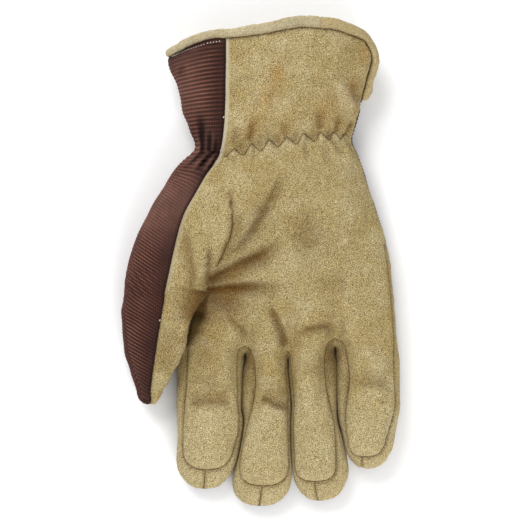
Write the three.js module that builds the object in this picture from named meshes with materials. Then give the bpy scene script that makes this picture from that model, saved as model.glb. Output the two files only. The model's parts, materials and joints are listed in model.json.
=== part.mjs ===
// Right-hand deerskin work glove, lying on its back with the palm up, in millimetres.
// +Z comes up out of the palm, +Y points to the cuff, -Y to the fingertips and -X to the thumb side.
// The whole outer skin is one net of quads. Each piece is the part of that net between its seams,
// given its own wall thickness, so neighbouring pieces meet along a seam with a small gap.
import * as THREE from 'three';

// Driving sizes
const LEATHER_WALL = 1.5;
const FABRIC_WALL = 1.2;
const SEAM_GAP = 0.3;
const BINDING_WIDTH = 5;
const BINDING_THICKNESS = 4;
const BINDING_SIDES = 8;
const BINDING_END_SHORT = 0.9;
const CROTCH_DEPTH = 1.5;
const BACK_SHORTER = 1.5;
// Above the vent the edge of the back lies this far inside the edge of the front
const BACK_VENT_INSET = 2.6;
// Share of the half width from which the back is drawn in beside the vent
const VENT_EDGE = 0.6;
// The back's hem stands this high, so that the thicker binding just meets the surface
const HEM_LIFT = 1.5;
// The hem bows up between its measured places, on the fabric and beside the little finger
const HEM_ARCH = { fabric: 2.6, ring: 2.4 };
// Over how many sections from the hem the lift and the shortness of the back fade
const HEM_FADE = { lift: 2, shorter: 4 };
// The binding lies flatter than the wall that it covers
const BINDING_FLATNESS = 1.2;

// Roundness. across and rise: exponents of the palm's dome over a section, and rise of the pads' domes
const PALM_DOME = { across: 2.3, rise: 0.7 };
const PAD_DOME_RISE = 0.6;
const SIDE_SWELL = 0.8;
// Where the back turns up towards its rim, as a share of its half width, and how late it rises
const BACK_TURN = {
  hand: { start: 0.68, power: 1.4 },
  finger: { start: 0.5, power: 1.3 },
  thumb: { start: 0.35, power: 1.2 },
};
// How much of a fingertip's lift also lowers the turned up rim
const LIFT_SHARE = 0.3;
// Folds fade towards the rims with this power of the place across
const RIM_FADE = 4;
const FOLD_SHARPNESS = 2.5;
const VALLEY_SHARPNESS = 2;
// The rows of a finger crowd towards its end, and its first part still follows the row that it starts from
const ROW_CROWDING = { power: 1.6, share: 0.6 };
const SETTLE = 0.35;
// A pad's end is bowed with this power of the share of its length, and its rim starts to close in here
const END_BOW_POWER = 6;
const END_RIM_START = 0.1;
// Share of the thumb's undercut by which its inner side bulges
const UNDERCUT_BULGE = 0.1;

// How finely the skin is divided
const FABRIC_FRONT = 3;
const THUMB_FRONT = 4;
const FINGER_FRONT = 4;
const SIDE_STEPS = 3;
const FINGER_ROWS = 10;
const THUMB_ROWS = 9;
const ROWS_BETWEEN = [1, 2, 2, 2, 2, 2, 2, 2, 2, 2, 1, 2, 2];

// Finishes
const FINISHES = {
  deerskin: { colour: 0xc2b283, roughness: 0.85 },
  ribbed_fabric: { colour: 0x6b4238, roughness: 0.9 },
  binding_leather: { colour: 0xbfae80, roughness: 0.8 },
};

// Sections of the hand from the hem to the finger crotches. The first twelve reach the thumb crotch.
// outline and seam: left outline, and the seam of fabric and leather, on the thumb side
// top: height of the palm. left/right rims: heights where the front and the back turn into the sides
const THUMB_SIDE = table(
  ['outlineX', 'outlineY', 'seamX', 'seamY'],
  [
    [-47.5, 104.5, -17.6, 113],
    [-46.5, 97, -17.6, 104],
    [-42.8, 89, -17.8, 93],
    [-40.6, 79, -18, 81.5],
    [-37, 67.5, -18.8, 67],
    [-33.8, 57.8, -21.5, 53],
    [-42, 49.5, -27.5, 44],
    [-51.2, 35, -33, 34.5],
    [-58.5, 22.5, -39.6, 22],
    [-65.3, 7.5, -43.7, 7],
    [-68.6, -5, -46.3, -5],
    [-70.6, -19, -48.9, -17],
  ],
);
const PALM_SIDE = table(
  ['thumbX', 'thumbY', 'indexX', 'middleX', 'middleY', 'ringX', 'rightX', 'rightY'],
  [
    [-6, 113.6, 8, 21, 118.8, 36, 53, 112],
    [-6, 105.5, 8, 21, 108, 36, 56.9, 103],
    [-6.5, 94, 7.5, 20.5, 95, 34, 54.6, 93],
    [-7.5, 81.5, 7, 20, 81, 33, 51.5, 80],
    [-9, 67.5, 6, 19, 68.5, 32, 48.8, 69.5],
    [-10, 54.5, 5, 18, 58.5, 31.4, 46.9, 61.5],
    [-10.5, 45, 4, 18, 47, 32.5, 51, 51],
    [-13, 34, 3.5, 18.5, 34, 34.5, 55.6, 36],
    [-14.5, 21.5, 3, 19, 20, 36.5, 60.5, 21.5],
    [-17.6, 7, 2.5, 19.5, 5, 38.5, 64.6, 7.5],
    [-22.5, -4, 2, 20, -6, 39.2, 66.5, -5.5],
    [-26.8, -14.3, 0.5, 19.5, -15.5, 39.5, 67.7, -16],
    [-32.5, -29, -4, 17, -30, 39, 69, -29],
    [-37.5, -43.6, -7.9, 14, -46.9, 38, 70, -42],
  ],
);
const HEIGHTS = table(
  ['top', 'leftFront', 'leftBack', 'rightFront', 'rightBack', 'rightInset'],
  [
    [37, 21, 12, 22, 11, 0],
    [36.5, 21, 11, 21, 10.5, 0],
    [35, 20, 9, 18.5, 9, 0],
    [32, 18, 7, 15, 8, 0.2],
    [28.5, 16, 6, 15, 6.5, 1.2],
    [24, 14, 5, 14, 5, 1.5],
    [28, 15, 5, 15.5, 5, 1.6],
    [33, 16, 5, 17, 5, 1.6],
    [35, 16.5, 5, 18, 5, 1.6],
    [34, 16.5, 5, 18.5, 4.5, 1.4],
    [32, 17, 5, 18, 4.5, 1.2],
    [30, 17, 4.5, 17.5, 4.5, 1.2],
    [27, 16, 3.5, 17, 4, 1.5],
    [24, 16.5, 4, 16.5, 4, 1.6],
  ],
);
const VENT_SECTION = 3;
const WRIST_SECTION = 5;
const STRIP_SECTION = 9;
const THUMB_CROTCH_SECTION = 11;
const FINGER_CROTCH_SECTION = 13;

// Distance from the front edge of the leather or fabric to the widest point of the side
const LEFT_INSET = 2.5;
// How far the outline of the palm lies outside its front seam under the thumb, at the last sections
const PALM_LEFT_BULGE = table(['out'], [[0], [3.2], [4.2]]);
// The crotches beside the ring and middle fingers sit higher than a straight row of them
const CROTCH_RISE = { index: 1.2, ring: 4.3 };

// Valleys that run up the palm from a crotch: deepest at the crotch, gone at the start section and a
// little beyond the crotch
const VALLEYS = {
  thumb: { from: 8, to: THUMB_CROTCH_SECTION, depth: 6.5, width: 9 },
  index: { from: 11, to: FINGER_CROTCH_SECTION, depth: 6.5, width: 6 },
  middle: { from: 11, to: FINGER_CROTCH_SECTION, depth: 6.5, width: 6 },
  ring: { from: 11, to: FINGER_CROTCH_SECTION, depth: 6.5, width: 6 },
};
const VALLEY_END = { start: 1.2, end: 2.2 };

// Folds of the front, each along a line, with the raised or sunk height of its middle
const FOLDS = records(
  ['x1', 'y1', 'x2', 'y2', 'width', 'rise'],
  [
    [-14.5, 24, -20, 2, 4, -2],
    [6.5, 32, -12, 3, 8, -2.2],
    [4, 5, -24, -9.5, 5, -1.6],
    [-26, -15, 6, -14, 4, -1.8],
    [-19, -28, -3, -37, 5, -1.6],
    [7, -30, 14, -43, 5, -1.8],
    [20, -36, 35, -30, 5, -1.6],
    [-36, 46, -20, 30, 5, 1.5],
    [30, 45, 48, 26, 7, 1.5],
    [18, 48, 8, 30, 6, 1.2],
    [-6, 46, -2, 28, 6, 1],
    [-10, 78, -12, 58, 6, -1.4],
    [29, 74, 33, 60, 6, -1.6],
    [46.5, 84, 44, 66, 5, -1.4],
    [4, 70, 4, 58, 5, 1.2],
  ],
);
// Gathers of the wrist elastic, and the span across the hand over which its line slopes
const GATHER = { pitch: 9, height: 0.8, reach: 8, left: -19, span: 66 };

// Fingers, from the index to the little one. Left and right are the front seams, outerLeft and outerRight
// the outline. padEnd and padRound: where the pad ends and over what length it rounds off, and the same
// for the back
const FINGERS = [
  {
    padEnd: -106.3,
    padRound: 10.5,
    backEnd: -116.2,
    backRound: 14,
    rows: table(
      ['left', 'right', 'outerLeft', 'outerRight'],
      [
        [-37.5, -7.9, -42.1, -7.9],
        [-37.5, -11.5, -42.1, -8.4],
        [-37.7, -11.5, -42.1, -9.4],
        [-38, -11.3, -42.1, -9.9],
        [-39, -11, -42.6, -10.2],
        [-39.5, -10.4, -42.3, -9],
        [-40, -10.7, -42.1, -9.8],
        [-40, -13.5, -42.8, -11.7],
        [-40, -14.5, -42.5, -14],
      ],
      [-43.8, -47.5, -53.6, -63.8, -74, -80, -86.7, -96.9, -104],
    ),
  },
  {
    padEnd: -114.5,
    padRound: 11,
    backEnd: -125,
    backRound: 13.3,
    rows: table(
      ['left', 'right', 'outerLeft', 'outerRight'],
      [
        [-7.9, 14, -7.9, 14],
        [-4.8, 13, -7.4, 13.8],
        [-3.5, 13.2, -8.6, 13.8],
        [-2.8, 13.8, -9.1, 14.7],
        [-4.3, 14.3, -9.4, 15.5],
        [-6, 14.2, -8.2, 15],
        [-7.8, 14.3, -9, 15],
        [-10, 14.7, -11, 15.4],
        [-11, 15, -12.8, 15.7],
        [-12, 15, -15.5, 16],
      ],
      [-45.4, -48.5, -53.6, -63.8, -74, -80, -86.7, -96.9, -103.5, -112],
    ),
  },
  {
    padEnd: -112.5,
    padRound: 8,
    backEnd: -122.2,
    backRound: 15,
    rows: table(
      ['left', 'right', 'outerLeft', 'outerRight'],
      [
        [14, 38, 14, 38],
        [14.9, 33.8, 14.5, 37.6],
        [15.2, 32.9, 14.4, 38.5],
        [16.2, 33.6, 15.4, 38.5],
        [16.8, 35.7, 16.2, 38.6],
        [16.4, 37.2, 15.7, 39],
        [16.3, 38.3, 15.7, 41.3],
        [16.6, 38.7, 16.1, 43.6],
        [16.8, 38.8, 16.4, 44.6],
        [17, 38.8, 16.8, 43.8],
      ],
      [-43.5, -47.5, -53.6, -63.8, -74, -80, -86.7, -96.9, -102, -109],
    ),
  },
  {
    padEnd: -100,
    padRound: 7.7,
    backEnd: -105.4,
    backRound: 11.5,
    rows: table(
      ['left', 'right', 'outerLeft', 'outerRight'],
      [
        [38, 68.4, 38, 70],
        [42.6, 68.3, 38.7, 70],
        [43.6, 68.2, 39.3, 70.3],
        [44.9, 68.5, 39.4, 70.9],
        [43.6, 69, 39.6, 71],
        [42.9, 68.2, 40, 70.4],
        [43.2, 65.7, 42.2, 68.2],
        [44.2, 64, 43.5, 67.2],
        [44.4, 63, 43.8, 66],
      ],
      [-41, -43.8, -48.5, -61.2, -71.4, -77.5, -86.7, -92.3, -96],
    ),
  },
];
// Heights along a finger, from its root to the end of its pad
const FINGER_HEIGHTS = table(
  ['seam', 'dome', 'backSeam', 'lift'],
  [
    [16.5, 7, 4, 0],
    [16, 6.5, 4, 0],
    [15.5, 6, 4, 0.4],
    [14.5, 5.5, 4, 1.5],
  ],
  [0, 0.4, 0.75, 1],
);
const FINGER_NOSE = 2.4;
const BACK_SEAM_INSET = 0.9;

// Thumb: left is the outline of its outer side, seam that of fabric and leather, right its inner edge
const THUMB = {
  padEnd: -70.6,
  padRound: 6,
  backEnd: -71.4,
  backRound: 6.5,
  rows: table(
    ['left', 'seam', 'right', 'leftFront', 'rightFront', 'dome', 'leftBack', 'rightBack', 'undercut'],
    [
      [-70.6, -48.9, -26.8, 17, 23.5, 9, 4.5, 2, 0],
      [-71.1, -49.7, -30.6, 16, 24, 8, 4.5, 9, 6],
      [-70.7, -50.9, -35.2, 15.5, 23.5, 7.5, 4.5, 10, 7],
      [-70.4, -52.3, -36.7, 15, 22.5, 7, 4.5, 10, 6.5],
      [-68.1, -54.4, -41.8, 14, 20, 6, 4.5, 9, 4],
      [-63.8, -56.2, -49.5, 12.5, 15, 4, 4.5, 7, 2],
    ],
    [-17, -23.5, -31.6, -40.3, -53.6, -66],
  ),
};
const THUMB_EDGE_INSET = 0.4;

// Reads a table with named columns at any place between its rows, smoothly and without overshoot
function table(columns, rows, places = rows.map((row, index) => index)) {
  const byPlace = places
    .map((place, index) => ({ place, row: rows[index] }))
    .sort((a, b) => a.place - b.place);
  return (at) => {
    const result = {};
    columns.forEach((name, column) => {
      result[name] = smoothRead(byPlace, column, at);
    });
    return result;
  };
}

function smoothRead(byPlace, column, at) {
  const last = byPlace.length - 1;
  const place = Math.min(Math.max(at, byPlace[0].place), byPlace[last].place);
  let i = 0;
  while (i < last - 1 && place > byPlace[i + 1].place) {
    i += 1;
  }
  const slope = (k) => {
    if (k < 0 || k >= last) return 0;
    return (byPlace[k + 1].row[column] - byPlace[k].row[column]) / (byPlace[k + 1].place - byPlace[k].place);
  };
  const tangent = (k) => {
    if (k === 0) return slope(0);
    if (k === last) return slope(last - 1);
    const before = slope(k - 1);
    const after = slope(k);
    return before * after <= 0 ? 0 : (2 * before * after) / (before + after);
  };
  const width = byPlace[i + 1].place - byPlace[i].place;
  const t = (place - byPlace[i].place) / width;
  const low = byPlace[i].row[column];
  const high = byPlace[i + 1].row[column];
  return (
    low * (1 + 2 * t) * (1 - t) ** 2 +
    high * t * t * (3 - 2 * t) +
    tangent(i) * width * t * (1 - t) ** 2 -
    tangent(i + 1) * width * t * t * (1 - t)
  );
}

function records(columns, rows) {
  return rows.map((row) => Object.fromEntries(columns.map((name, column) => [name, row[column]])));
}

const mix = (a, b, t) => a + (b - a) * t;

function smoothstep(from, to, value) {
  const t = Math.min(Math.max((value - from) / (to - from), 0), 1);
  return t * t * (3 - 2 * t);
}

// Height that the folds and the wrist gathers add to the front at a place
function relief(x, y) {
  let rise = 0;
  for (const fold of FOLDS) {
    const dx = fold.x2 - fold.x1;
    const dy = fold.y2 - fold.y1;
    const along = ((x - fold.x1) * dx + (y - fold.y1) * dy) / (dx * dx + dy * dy);
    const held = Math.min(Math.max(along, 0), 1);
    const away = Math.hypot(x - fold.x1 - held * dx, y - fold.y1 - held * dy);
    rise += fold.rise * Math.exp(-((away / fold.width) ** 2) * FOLD_SHARPNESS);
  }
  const share = (x - GATHER.left) / GATHER.span;
  const wrist = mix(THUMB_SIDE(WRIST_SECTION).seamY, PALM_SIDE(WRIST_SECTION).rightY, share);
  const nearness = Math.exp(-(((y - wrist) / GATHER.reach) ** 2));
  return rise + GATHER.height * nearness * Math.sin((2 * Math.PI * x) / GATHER.pitch);
}

// One vertex of the skin. Neighbouring patches share the same vertex objects
const vertices = [];
function vertex(x, y, z) {
  const made = { id: vertices.length, at: new THREE.Vector3(x, y, z) };
  vertices.push(made);
  return made;
}

// Places of the key columns of the front on one section, from the thumb side to the little-finger side
function keyColumns(section) {
  const palm = PALM_SIDE(section);
  const blend = smoothstep(THUMB_CROTCH_SECTION, FINGER_CROTCH_SECTION, section);
  const nearHem = 1 - smoothstep(0, VENT_SECTION, section);
  const heights = HEIGHTS(section);
  const yAt = (x) => {
    const inner = (x - palm.thumbX) / (palm.middleX - palm.thumbX);
    const outer = (x - palm.middleX) / (palm.rightX - palm.middleX);
    return x < palm.middleX ? mix(palm.thumbY, palm.middleY, inner) : mix(palm.middleY, palm.rightY, outer);
  };
  const keys = [
    { x: palm.thumbX, y: palm.thumbY },
    { x: palm.indexX, y: yAt(palm.indexX) + CROTCH_RISE.index * blend },
    { x: palm.middleX, y: palm.middleY },
    { x: palm.ringX, y: yAt(palm.ringX) + CROTCH_RISE.ring * blend + HEM_ARCH.ring * nearHem },
    { x: palm.rightX - heights.rightInset, y: palm.rightY },
  ];
  if (section > THUMB_CROTCH_SECTION) return { keys, steps: Array(4).fill(FINGER_FRONT) };
  const thumb = THUMB_SIDE(section);
  keys.unshift(
    { x: thumb.outlineX + LEFT_INSET, y: thumb.outlineY },
    { x: thumb.seamX, y: thumb.seamY },
  );
  return { keys, steps: [FABRIC_FRONT, THUMB_FRONT, ...Array(4).fill(FINGER_FRONT)] };
}

// Height of the palm's front across one section. across runs from -1 to 1
function frontHeight(section, x, across) {
  const heights = HEIGHTS(section);
  const rim = mix(heights.leftFront, heights.rightFront, (across + 1) / 2);
  const palm = PALM_SIDE(section);
  const dome = Math.max(1 - Math.abs(across) ** PALM_DOME.across, 0) ** PALM_DOME.rise;
  let z = rim + (heights.top - rim) * dome;
  for (const [finger, valley] of Object.entries(VALLEYS)) {
    const onSection = smoothstep(valley.from, valley.to, section);
    const fading = 1 - smoothstep(valley.to + VALLEY_END.start, valley.to + VALLEY_END.end, section);
    const away = (x - palm[`${finger}X`]) / valley.width;
    z -= fading * valley.depth * onSection * Math.exp(-away * away * VALLEY_SHARPNESS);
  }
  return z;
}

// Height of the back: flat on the surface in the middle, and turned up to its rims and its hem
function backHeight(section, across) {
  const heights = HEIGHTS(section);
  const rim = across < 0 ? heights.leftBack : heights.rightBack;
  const turn = BACK_TURN.hand;
  const lift = HEM_LIFT * (1 - smoothstep(0, HEM_FADE.lift, section));
  return lift + rim * smoothstep(turn.start, 1, Math.abs(across)) ** turn.power;
}

// Front and back rows of the hand at one section
function handRow(section) {
  const { keys, steps } = keyColumns(section);
  const arch = HEM_ARCH.fabric * (1 - smoothstep(0, VENT_SECTION, section));
  const places = [];
  steps.forEach((count, k) => {
    for (let i = k === 0 ? 0 : 1; i <= count; i += 1) {
      const t = i / count;
      const rise = k === 0 ? arch * 4 * t * (1 - t) : 0;
      places.push({ x: mix(keys[k].x, keys[k + 1].x, t), y: mix(keys[k].y, keys[k + 1].y, t) + rise });
    }
  });
  // Below the thumb crotch the section still spans the thumb's width at first
  const below = smoothstep(0, 1, section - THUMB_CROTCH_SECTION);
  const spanLeft = THUMB_SIDE(THUMB_CROTCH_SECTION).outlineX + LEFT_INSET;
  const left = section > THUMB_CROTCH_SECTION ? mix(spanLeft, places[0].x, below) : places[0].x;
  const right = places[places.length - 1].x;
  const shorter = BACK_SHORTER * (1 - smoothstep(0, HEM_FADE.shorter, section));
  const ventInset = BACK_VENT_INSET * (1 - smoothstep(VENT_SECTION - 0.5, VENT_SECTION + 0.5, section));
  const front = [];
  const back = [];
  places.forEach(({ x, y }) => {
    const across = ((x - left) / (right - left)) * 2 - 1;
    const inside = Math.max(1 - across ** RIM_FADE, 0);
    const inset = ventInset * Math.max((across - VENT_EDGE) / (1 - VENT_EDGE), 0);
    front.push(vertex(x, y, frontHeight(section, x, across) + inside * relief(x, y)));
    back.push(vertex(x - inset, y - shorter, backHeight(section, across)));
  });
  return { front, back };
}

// A side between a front vertex and a back vertex, bulging out by a distance in one direction
function sideRow(front, back, outX, outY, bulge) {
  const side = [front];
  for (let i = 1; i < SIDE_STEPS; i += 1) {
    const t = i / SIDE_STEPS;
    const swell = bulge * Math.sin(Math.PI * t) ** SIDE_SWELL;
    const at = front.at.clone().lerp(back.at, t);
    side.push(vertex(at.x + outX * swell, at.y + outY * swell, at.z));
  }
  side.push(back);
  return side;
}

// Quads of the skin with the node that they belong to
const quads = [];
function patch(rows, nodeAt, flipped = false) {
  for (let j = 0; j < rows.length - 1; j += 1) {
    for (let i = 0; i < rows[j].length - 1; i += 1) {
      const node = nodeAt(i, j);
      if (node) {
        const corners = [rows[j][i], rows[j + 1][i], rows[j + 1][i + 1], rows[j][i + 1]];
        quads.push({ node, corners: flipped ? corners.reverse() : corners });
      }
    }
  }
}

function sectionsOf(from, to) {
  const list = [from];
  for (let s = from; s < to; s += 1) {
    for (let i = 1; i <= ROWS_BETWEEN[s]; i += 1) {
      list.push(s + i / ROWS_BETWEEN[s]);
    }
  }
  return list;
}

// A finger or the thumb: front and back pads, and a band round its two sides and its tip
function tube(start, rowAt, rowCount, noseBulge, nodes) {
  const fronts = [start.front];
  const backs = [start.back];
  const bulges = [{ left: 0, right: 0 }];
  for (let k = 1; k <= rowCount; k += 1) {
    const row = rowAt(k / rowCount);
    fronts.push(row.front);
    backs.push(row.back);
    bulges.push(row.bulge);
  }
  const columns = start.front.length - 1;
  const path = [];
  fronts.forEach((front, k) => path.push({ front: front[0], back: backs[k][0], bulge: bulges[k].left }));
  for (let i = 1; i < columns; i += 1) {
    path.push({ front: fronts[rowCount][i], back: backs[rowCount][i], bulge: noseBulge });
  }
  for (let k = rowCount; k >= 0; k -= 1) {
    path.push({ front: fronts[k][columns], back: backs[k][columns], bulge: bulges[k].right });
  }
  const middle = (step) => step.front.at.clone().add(step.back.at).multiplyScalar(0.5);
  const band = path.map((step, p) => {
    if (p === 0) return start.leftSide;
    if (p === path.length - 1) return start.rightSide;
    const along = middle(path[p + 1]).sub(middle(path[p - 1]));
    const length = Math.hypot(along.x, along.y);
    return sideRow(step.front, step.back, along.y / length, -along.x / length, step.bulge);
  });
  patch(fronts, nodes.front);
  patch(backs, nodes.back, true);
  patch(band, (i, p) => nodes.band(p, path.length - 1), true);
}

// Half width left at a distance from the rounded end, as a share of the full half width
const END_WIDTH = 0.5;
const END_FULLNESS = 2.4;
const END_REACH = (1 - END_WIDTH ** END_FULLNESS) ** (1 / END_FULLNESS);
function rounding(distance, length) {
  const t = Math.min(Math.max(1 - distance / length, 0), 1) * END_REACH;
  return (1 - t ** END_FULLNESS) ** (1 / END_FULLNESS);
}

// One row of a finger's front or back, rounded at its end
function padRow(left, right, y, t, end, columns, heightAt) {
  const centre = (left + right) / 2;
  const half = ((right - left) / 2) * rounding(y - end.y, end.length);
  const bow = end.length * (1 - END_REACH) * t ** END_BOW_POWER;
  const toEnd = 1 - (y - end.y) / end.length;
  const endward = smoothstep(END_RIM_START, 1, toEnd);
  return columns.map((c) => {
    const rim = Math.sqrt(1 - (1 - c * c) * (1 - endward * endward));
    return vertex(centre + half * c, y - bow * (1 - c * c), heightAt(c, Math.min(rim, 1)));
  });
}

function evenColumns(count) {
  return Array.from({ length: count + 1 }, (unused, i) => (2 * i) / count - 1);
}

function fingerRow(finger, start, t) {
  const heights = FINGER_HEIGHTS(t);
  const eased = mix(t, 1 - (1 - t) ** ROW_CROWDING.power, ROW_CROWDING.share);
  const rootY = start.front[FINGER_FRONT / 2].at.y;
  const y = mix(rootY, finger.padEnd, eased);
  const backY = mix(rootY, finger.backEnd, eased);
  const at = finger.rows(y);
  const backAt = finger.rows(backY);
  const columns = evenColumns(FINGER_FRONT);
  const settled = smoothstep(0, SETTLE, t);
  const padEnd = { y: finger.padEnd, length: finger.padRound };
  const front = padRow(at.left, at.right, y, t, padEnd, columns, (c, rim) => {
    const column = Math.round(((c + 1) / 2) * FINGER_FRONT);
    const own = heights.seam + heights.dome * Math.max(1 - rim * rim, 0) ** PAD_DOME_RISE;
    return mix(start.front[column].at.z, own, settled);
  });
  const turn = BACK_TURN.finger;
  const turnedUp = heights.backSeam - heights.lift * LIFT_SHARE;
  const back = padRow(
    backAt.outerLeft + BACK_SEAM_INSET,
    backAt.outerRight - BACK_SEAM_INSET,
    backY,
    t,
    { y: finger.backEnd, length: finger.backRound },
    columns,
    (c, rim) => heights.lift + turnedUp * smoothstep(turn.start, 1, rim) ** turn.power,
  );
  const bulge = {
    left: (at.left - at.outerLeft + BACK_SEAM_INSET) / 2,
    right: (at.outerRight - at.right + BACK_SEAM_INSET) / 2,
  };
  return { front, back, bulge };
}

function thumbRow(start, t) {
  const root = start.front[Math.round(start.front.length / 2)].at.y;
  const y = mix(root, THUMB.padEnd, t);
  const backY = mix(root, THUMB.backEnd, t);
  const at = THUMB.rows(y);
  const seamShare = (at.seam - at.left - LEFT_INSET) / (at.right - THUMB_EDGE_INSET - at.left - LEFT_INSET);
  const shares = [];
  for (let i = 0; i <= FABRIC_FRONT; i += 1) {
    shares.push((seamShare * i) / FABRIC_FRONT);
  }
  for (let i = 1; i <= THUMB_FRONT; i += 1) {
    shares.push(mix(seamShare, 1, i / THUMB_FRONT));
  }
  const columns = shares.map((share) => share * 2 - 1);
  const settled = smoothstep(0, SETTLE, t);
  const front = padRow(
    at.left + LEFT_INSET,
    at.right - THUMB_EDGE_INSET,
    y,
    t,
    { y: THUMB.padEnd, length: THUMB.padRound },
    columns,
    (c, rim) => {
      const seam = mix(at.leftFront, at.rightFront, (c + 1) / 2);
      return seam + at.dome * Math.max(1 - rim * rim, 0) ** PAD_DOME_RISE;
    },
  );
  front.forEach((made, i) => {
    made.at.y = mix(made.at.y + start.front[i].at.y - root, made.at.y, settled);
  });
  const back = padRow(
    at.left + LEFT_INSET,
    at.right - at.undercut,
    backY,
    t,
    { y: THUMB.backEnd, length: THUMB.backRound },
    columns,
    (c, rim) => {
      const turn = BACK_TURN.thumb;
      return mix(at.leftBack, at.rightBack, (c + 1) / 2) * smoothstep(turn.start, 1, rim) ** turn.power;
    },
  );
  back.forEach((made, i) => {
    made.at.y = mix(made.at.y + start.back[i].at.y - root, made.at.y, settled);
  });
  return { front, back, bulge: { left: LEFT_INSET, right: THUMB_EDGE_INSET + at.undercut * UNDERCUT_BULGE } };
}

// Hand from the hem to the thumb crotch
const LEATHER_NODE = 'palm_panel';
const FABRIC_NODE = 'back_panel';
const STRIPS = [
  'strip_index_outer',
  'fourchette_index_middle',
  'fourchette_middle_ring',
  'fourchette_ring_little',
  'strip_little_outer',
];
const thumbColumns = FABRIC_FRONT + THUMB_FRONT;
const upperSections = sectionsOf(0, THUMB_CROTCH_SECTION);
const upper = upperSections.map(handRow);
const upperRight = upper.map(({ front, back }, j) => {
  const edge = front.length - 1;
  const inset = HEIGHTS(upperSections[j]).rightInset;
  return sideRow(front[edge], back[edge], 1, 0, inset);
});
const upperLeft = upper.map(({ front, back }) => sideRow(front[0], back[0], -1, 0, LEFT_INSET));
const ventRow = upperSections.indexOf(VENT_SECTION);
const stripRow = upperSections.indexOf(STRIP_SECTION);
patch(upper.map((row) => row.front), (i) => (i < FABRIC_FRONT ? FABRIC_NODE : LEATHER_NODE));
patch(upper.map((row) => row.back), () => FABRIC_NODE, true);
patch(upperLeft, () => FABRIC_NODE, true);
patch(upperRight, (i, j) => {
  if (j < ventRow) return null;
  if (j >= stripRow) return STRIPS[4];
  return i === 0 ? LEATHER_NODE : FABRIC_NODE;
});

// Hand from the thumb crotch to the finger crotches
const crotchRow = upper[upper.length - 1];
const web = (front, back) => sideRow(front, back, 0, 1, CROTCH_DEPTH);
const thumbWeb = web(crotchRow.front[thumbColumns], crotchRow.back[thumbColumns]);
const lowerSections = sectionsOf(THUMB_CROTCH_SECTION, FINGER_CROTCH_SECTION);
const lower = lowerSections.map((section, j) => {
  if (j > 0) return handRow(section);
  return { front: crotchRow.front.slice(thumbColumns), back: crotchRow.back.slice(thumbColumns) };
});
const handEdge = lower[0].front.length - 1;
const lowerLeft = lower.map(({ front, back }, j) => {
  if (j === 0) return thumbWeb;
  const { out } = PALM_LEFT_BULGE(lowerSections[j] - THUMB_CROTCH_SECTION);
  back[0].at.x = front[0].at.x - out + BACK_SEAM_INSET;
  return sideRow(front[0], back[0], -1, 0, (out + BACK_SEAM_INSET) / 2);
});
const lowerRight = lower.map(({ front, back }, j) => {
  if (j === 0) return upperRight[upperRight.length - 1];
  return sideRow(front[handEdge], back[handEdge], 1, 0, HEIGHTS(lowerSections[j]).rightInset);
});
patch(lower.map((row) => row.front), () => LEATHER_NODE);
patch(lower.map((row) => row.back), () => FABRIC_NODE, true);
patch(lowerLeft, () => STRIPS[0], true);
patch(lowerRight, () => STRIPS[4]);

// Fingers
const last = lower[lower.length - 1];
const webs = [lowerLeft[lowerLeft.length - 1]];
for (let f = 1; f < FINGERS.length; f += 1) {
  webs.push(web(last.front[f * FINGER_FRONT], last.back[f * FINGER_FRONT]));
}
webs.push(lowerRight[lowerRight.length - 1]);
FINGERS.forEach((finger, f) => {
  const start = {
    front: last.front.slice(f * FINGER_FRONT, (f + 1) * FINGER_FRONT + 1),
    back: last.back.slice(f * FINGER_FRONT, (f + 1) * FINGER_FRONT + 1),
    leftSide: webs[f],
    rightSide: webs[f + 1],
  };
  tube(start, (t) => fingerRow(finger, start, t), FINGER_ROWS, FINGER_NOSE, {
    front: () => LEATHER_NODE,
    back: () => FABRIC_NODE,
    band: (p, steps) => STRIPS[p < steps / 2 ? f : f + 1],
  });
});

// Thumb
const thumbStart = {
  front: crotchRow.front.slice(0, thumbColumns + 1),
  back: crotchRow.back.slice(0, thumbColumns + 1),
  leftSide: upperLeft[upperLeft.length - 1],
  rightSide: thumbWeb,
};
tube(thumbStart, (t) => thumbRow(thumbStart, t), THUMB_ROWS, FINGER_NOSE, {
  front: (i) => (i < FABRIC_FRONT ? FABRIC_NODE : LEATHER_NODE),
  back: () => FABRIC_NODE,
  band: (p) => (p < THUMB_ROWS + FABRIC_FRONT ? FABRIC_NODE : LEATHER_NODE),
});

// Outward normals of the whole skin, so that two pieces share them along a seam
const normals = vertices.map(() => new THREE.Vector3());
quads.forEach(({ corners }) => {
  const [a, b, c, d] = corners.map((corner) => corner.at);
  const facing = c.clone().sub(a).cross(d.clone().sub(b));
  corners.forEach((corner) => normals[corner.id].add(facing));
});
normals.forEach((normal) => normal.normalize());

// For each border vertex of a piece, the way into the piece along its surface
function bordersOf(pieceQuads) {
  const edges = new Map();
  pieceQuads.forEach(({ corners }) => {
    corners.forEach((corner, i) => {
      const next = corners[(i + 1) % 4];
      edges.set(`${corner.id} ${next.id}`, { from: corner, to: next });
    });
  });
  const border = [];
  edges.forEach((edge) => {
    if (!edges.has(`${edge.to.id} ${edge.from.id}`)) border.push(edge);
  });
  const inward = new Map();
  border.forEach(({ from, to }) => {
    const along = to.at.clone().sub(from.at).normalize();
    [from, to].forEach((end) => {
      const way = normals[end.id].clone().cross(along).normalize();
      if (!inward.has(end.id)) inward.set(end.id, []);
      inward.get(end.id).push(way);
    });
  });
  const moves = new Map();
  inward.forEach((ways, id) => {
    const sum = ways.reduce((total, way) => total.add(way), new THREE.Vector3());
    const share = Math.max(sum.length() / ways.length, 0.5);
    moves.set(id, sum.normalize().divideScalar(share));
  });
  return { border, moves };
}

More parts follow.
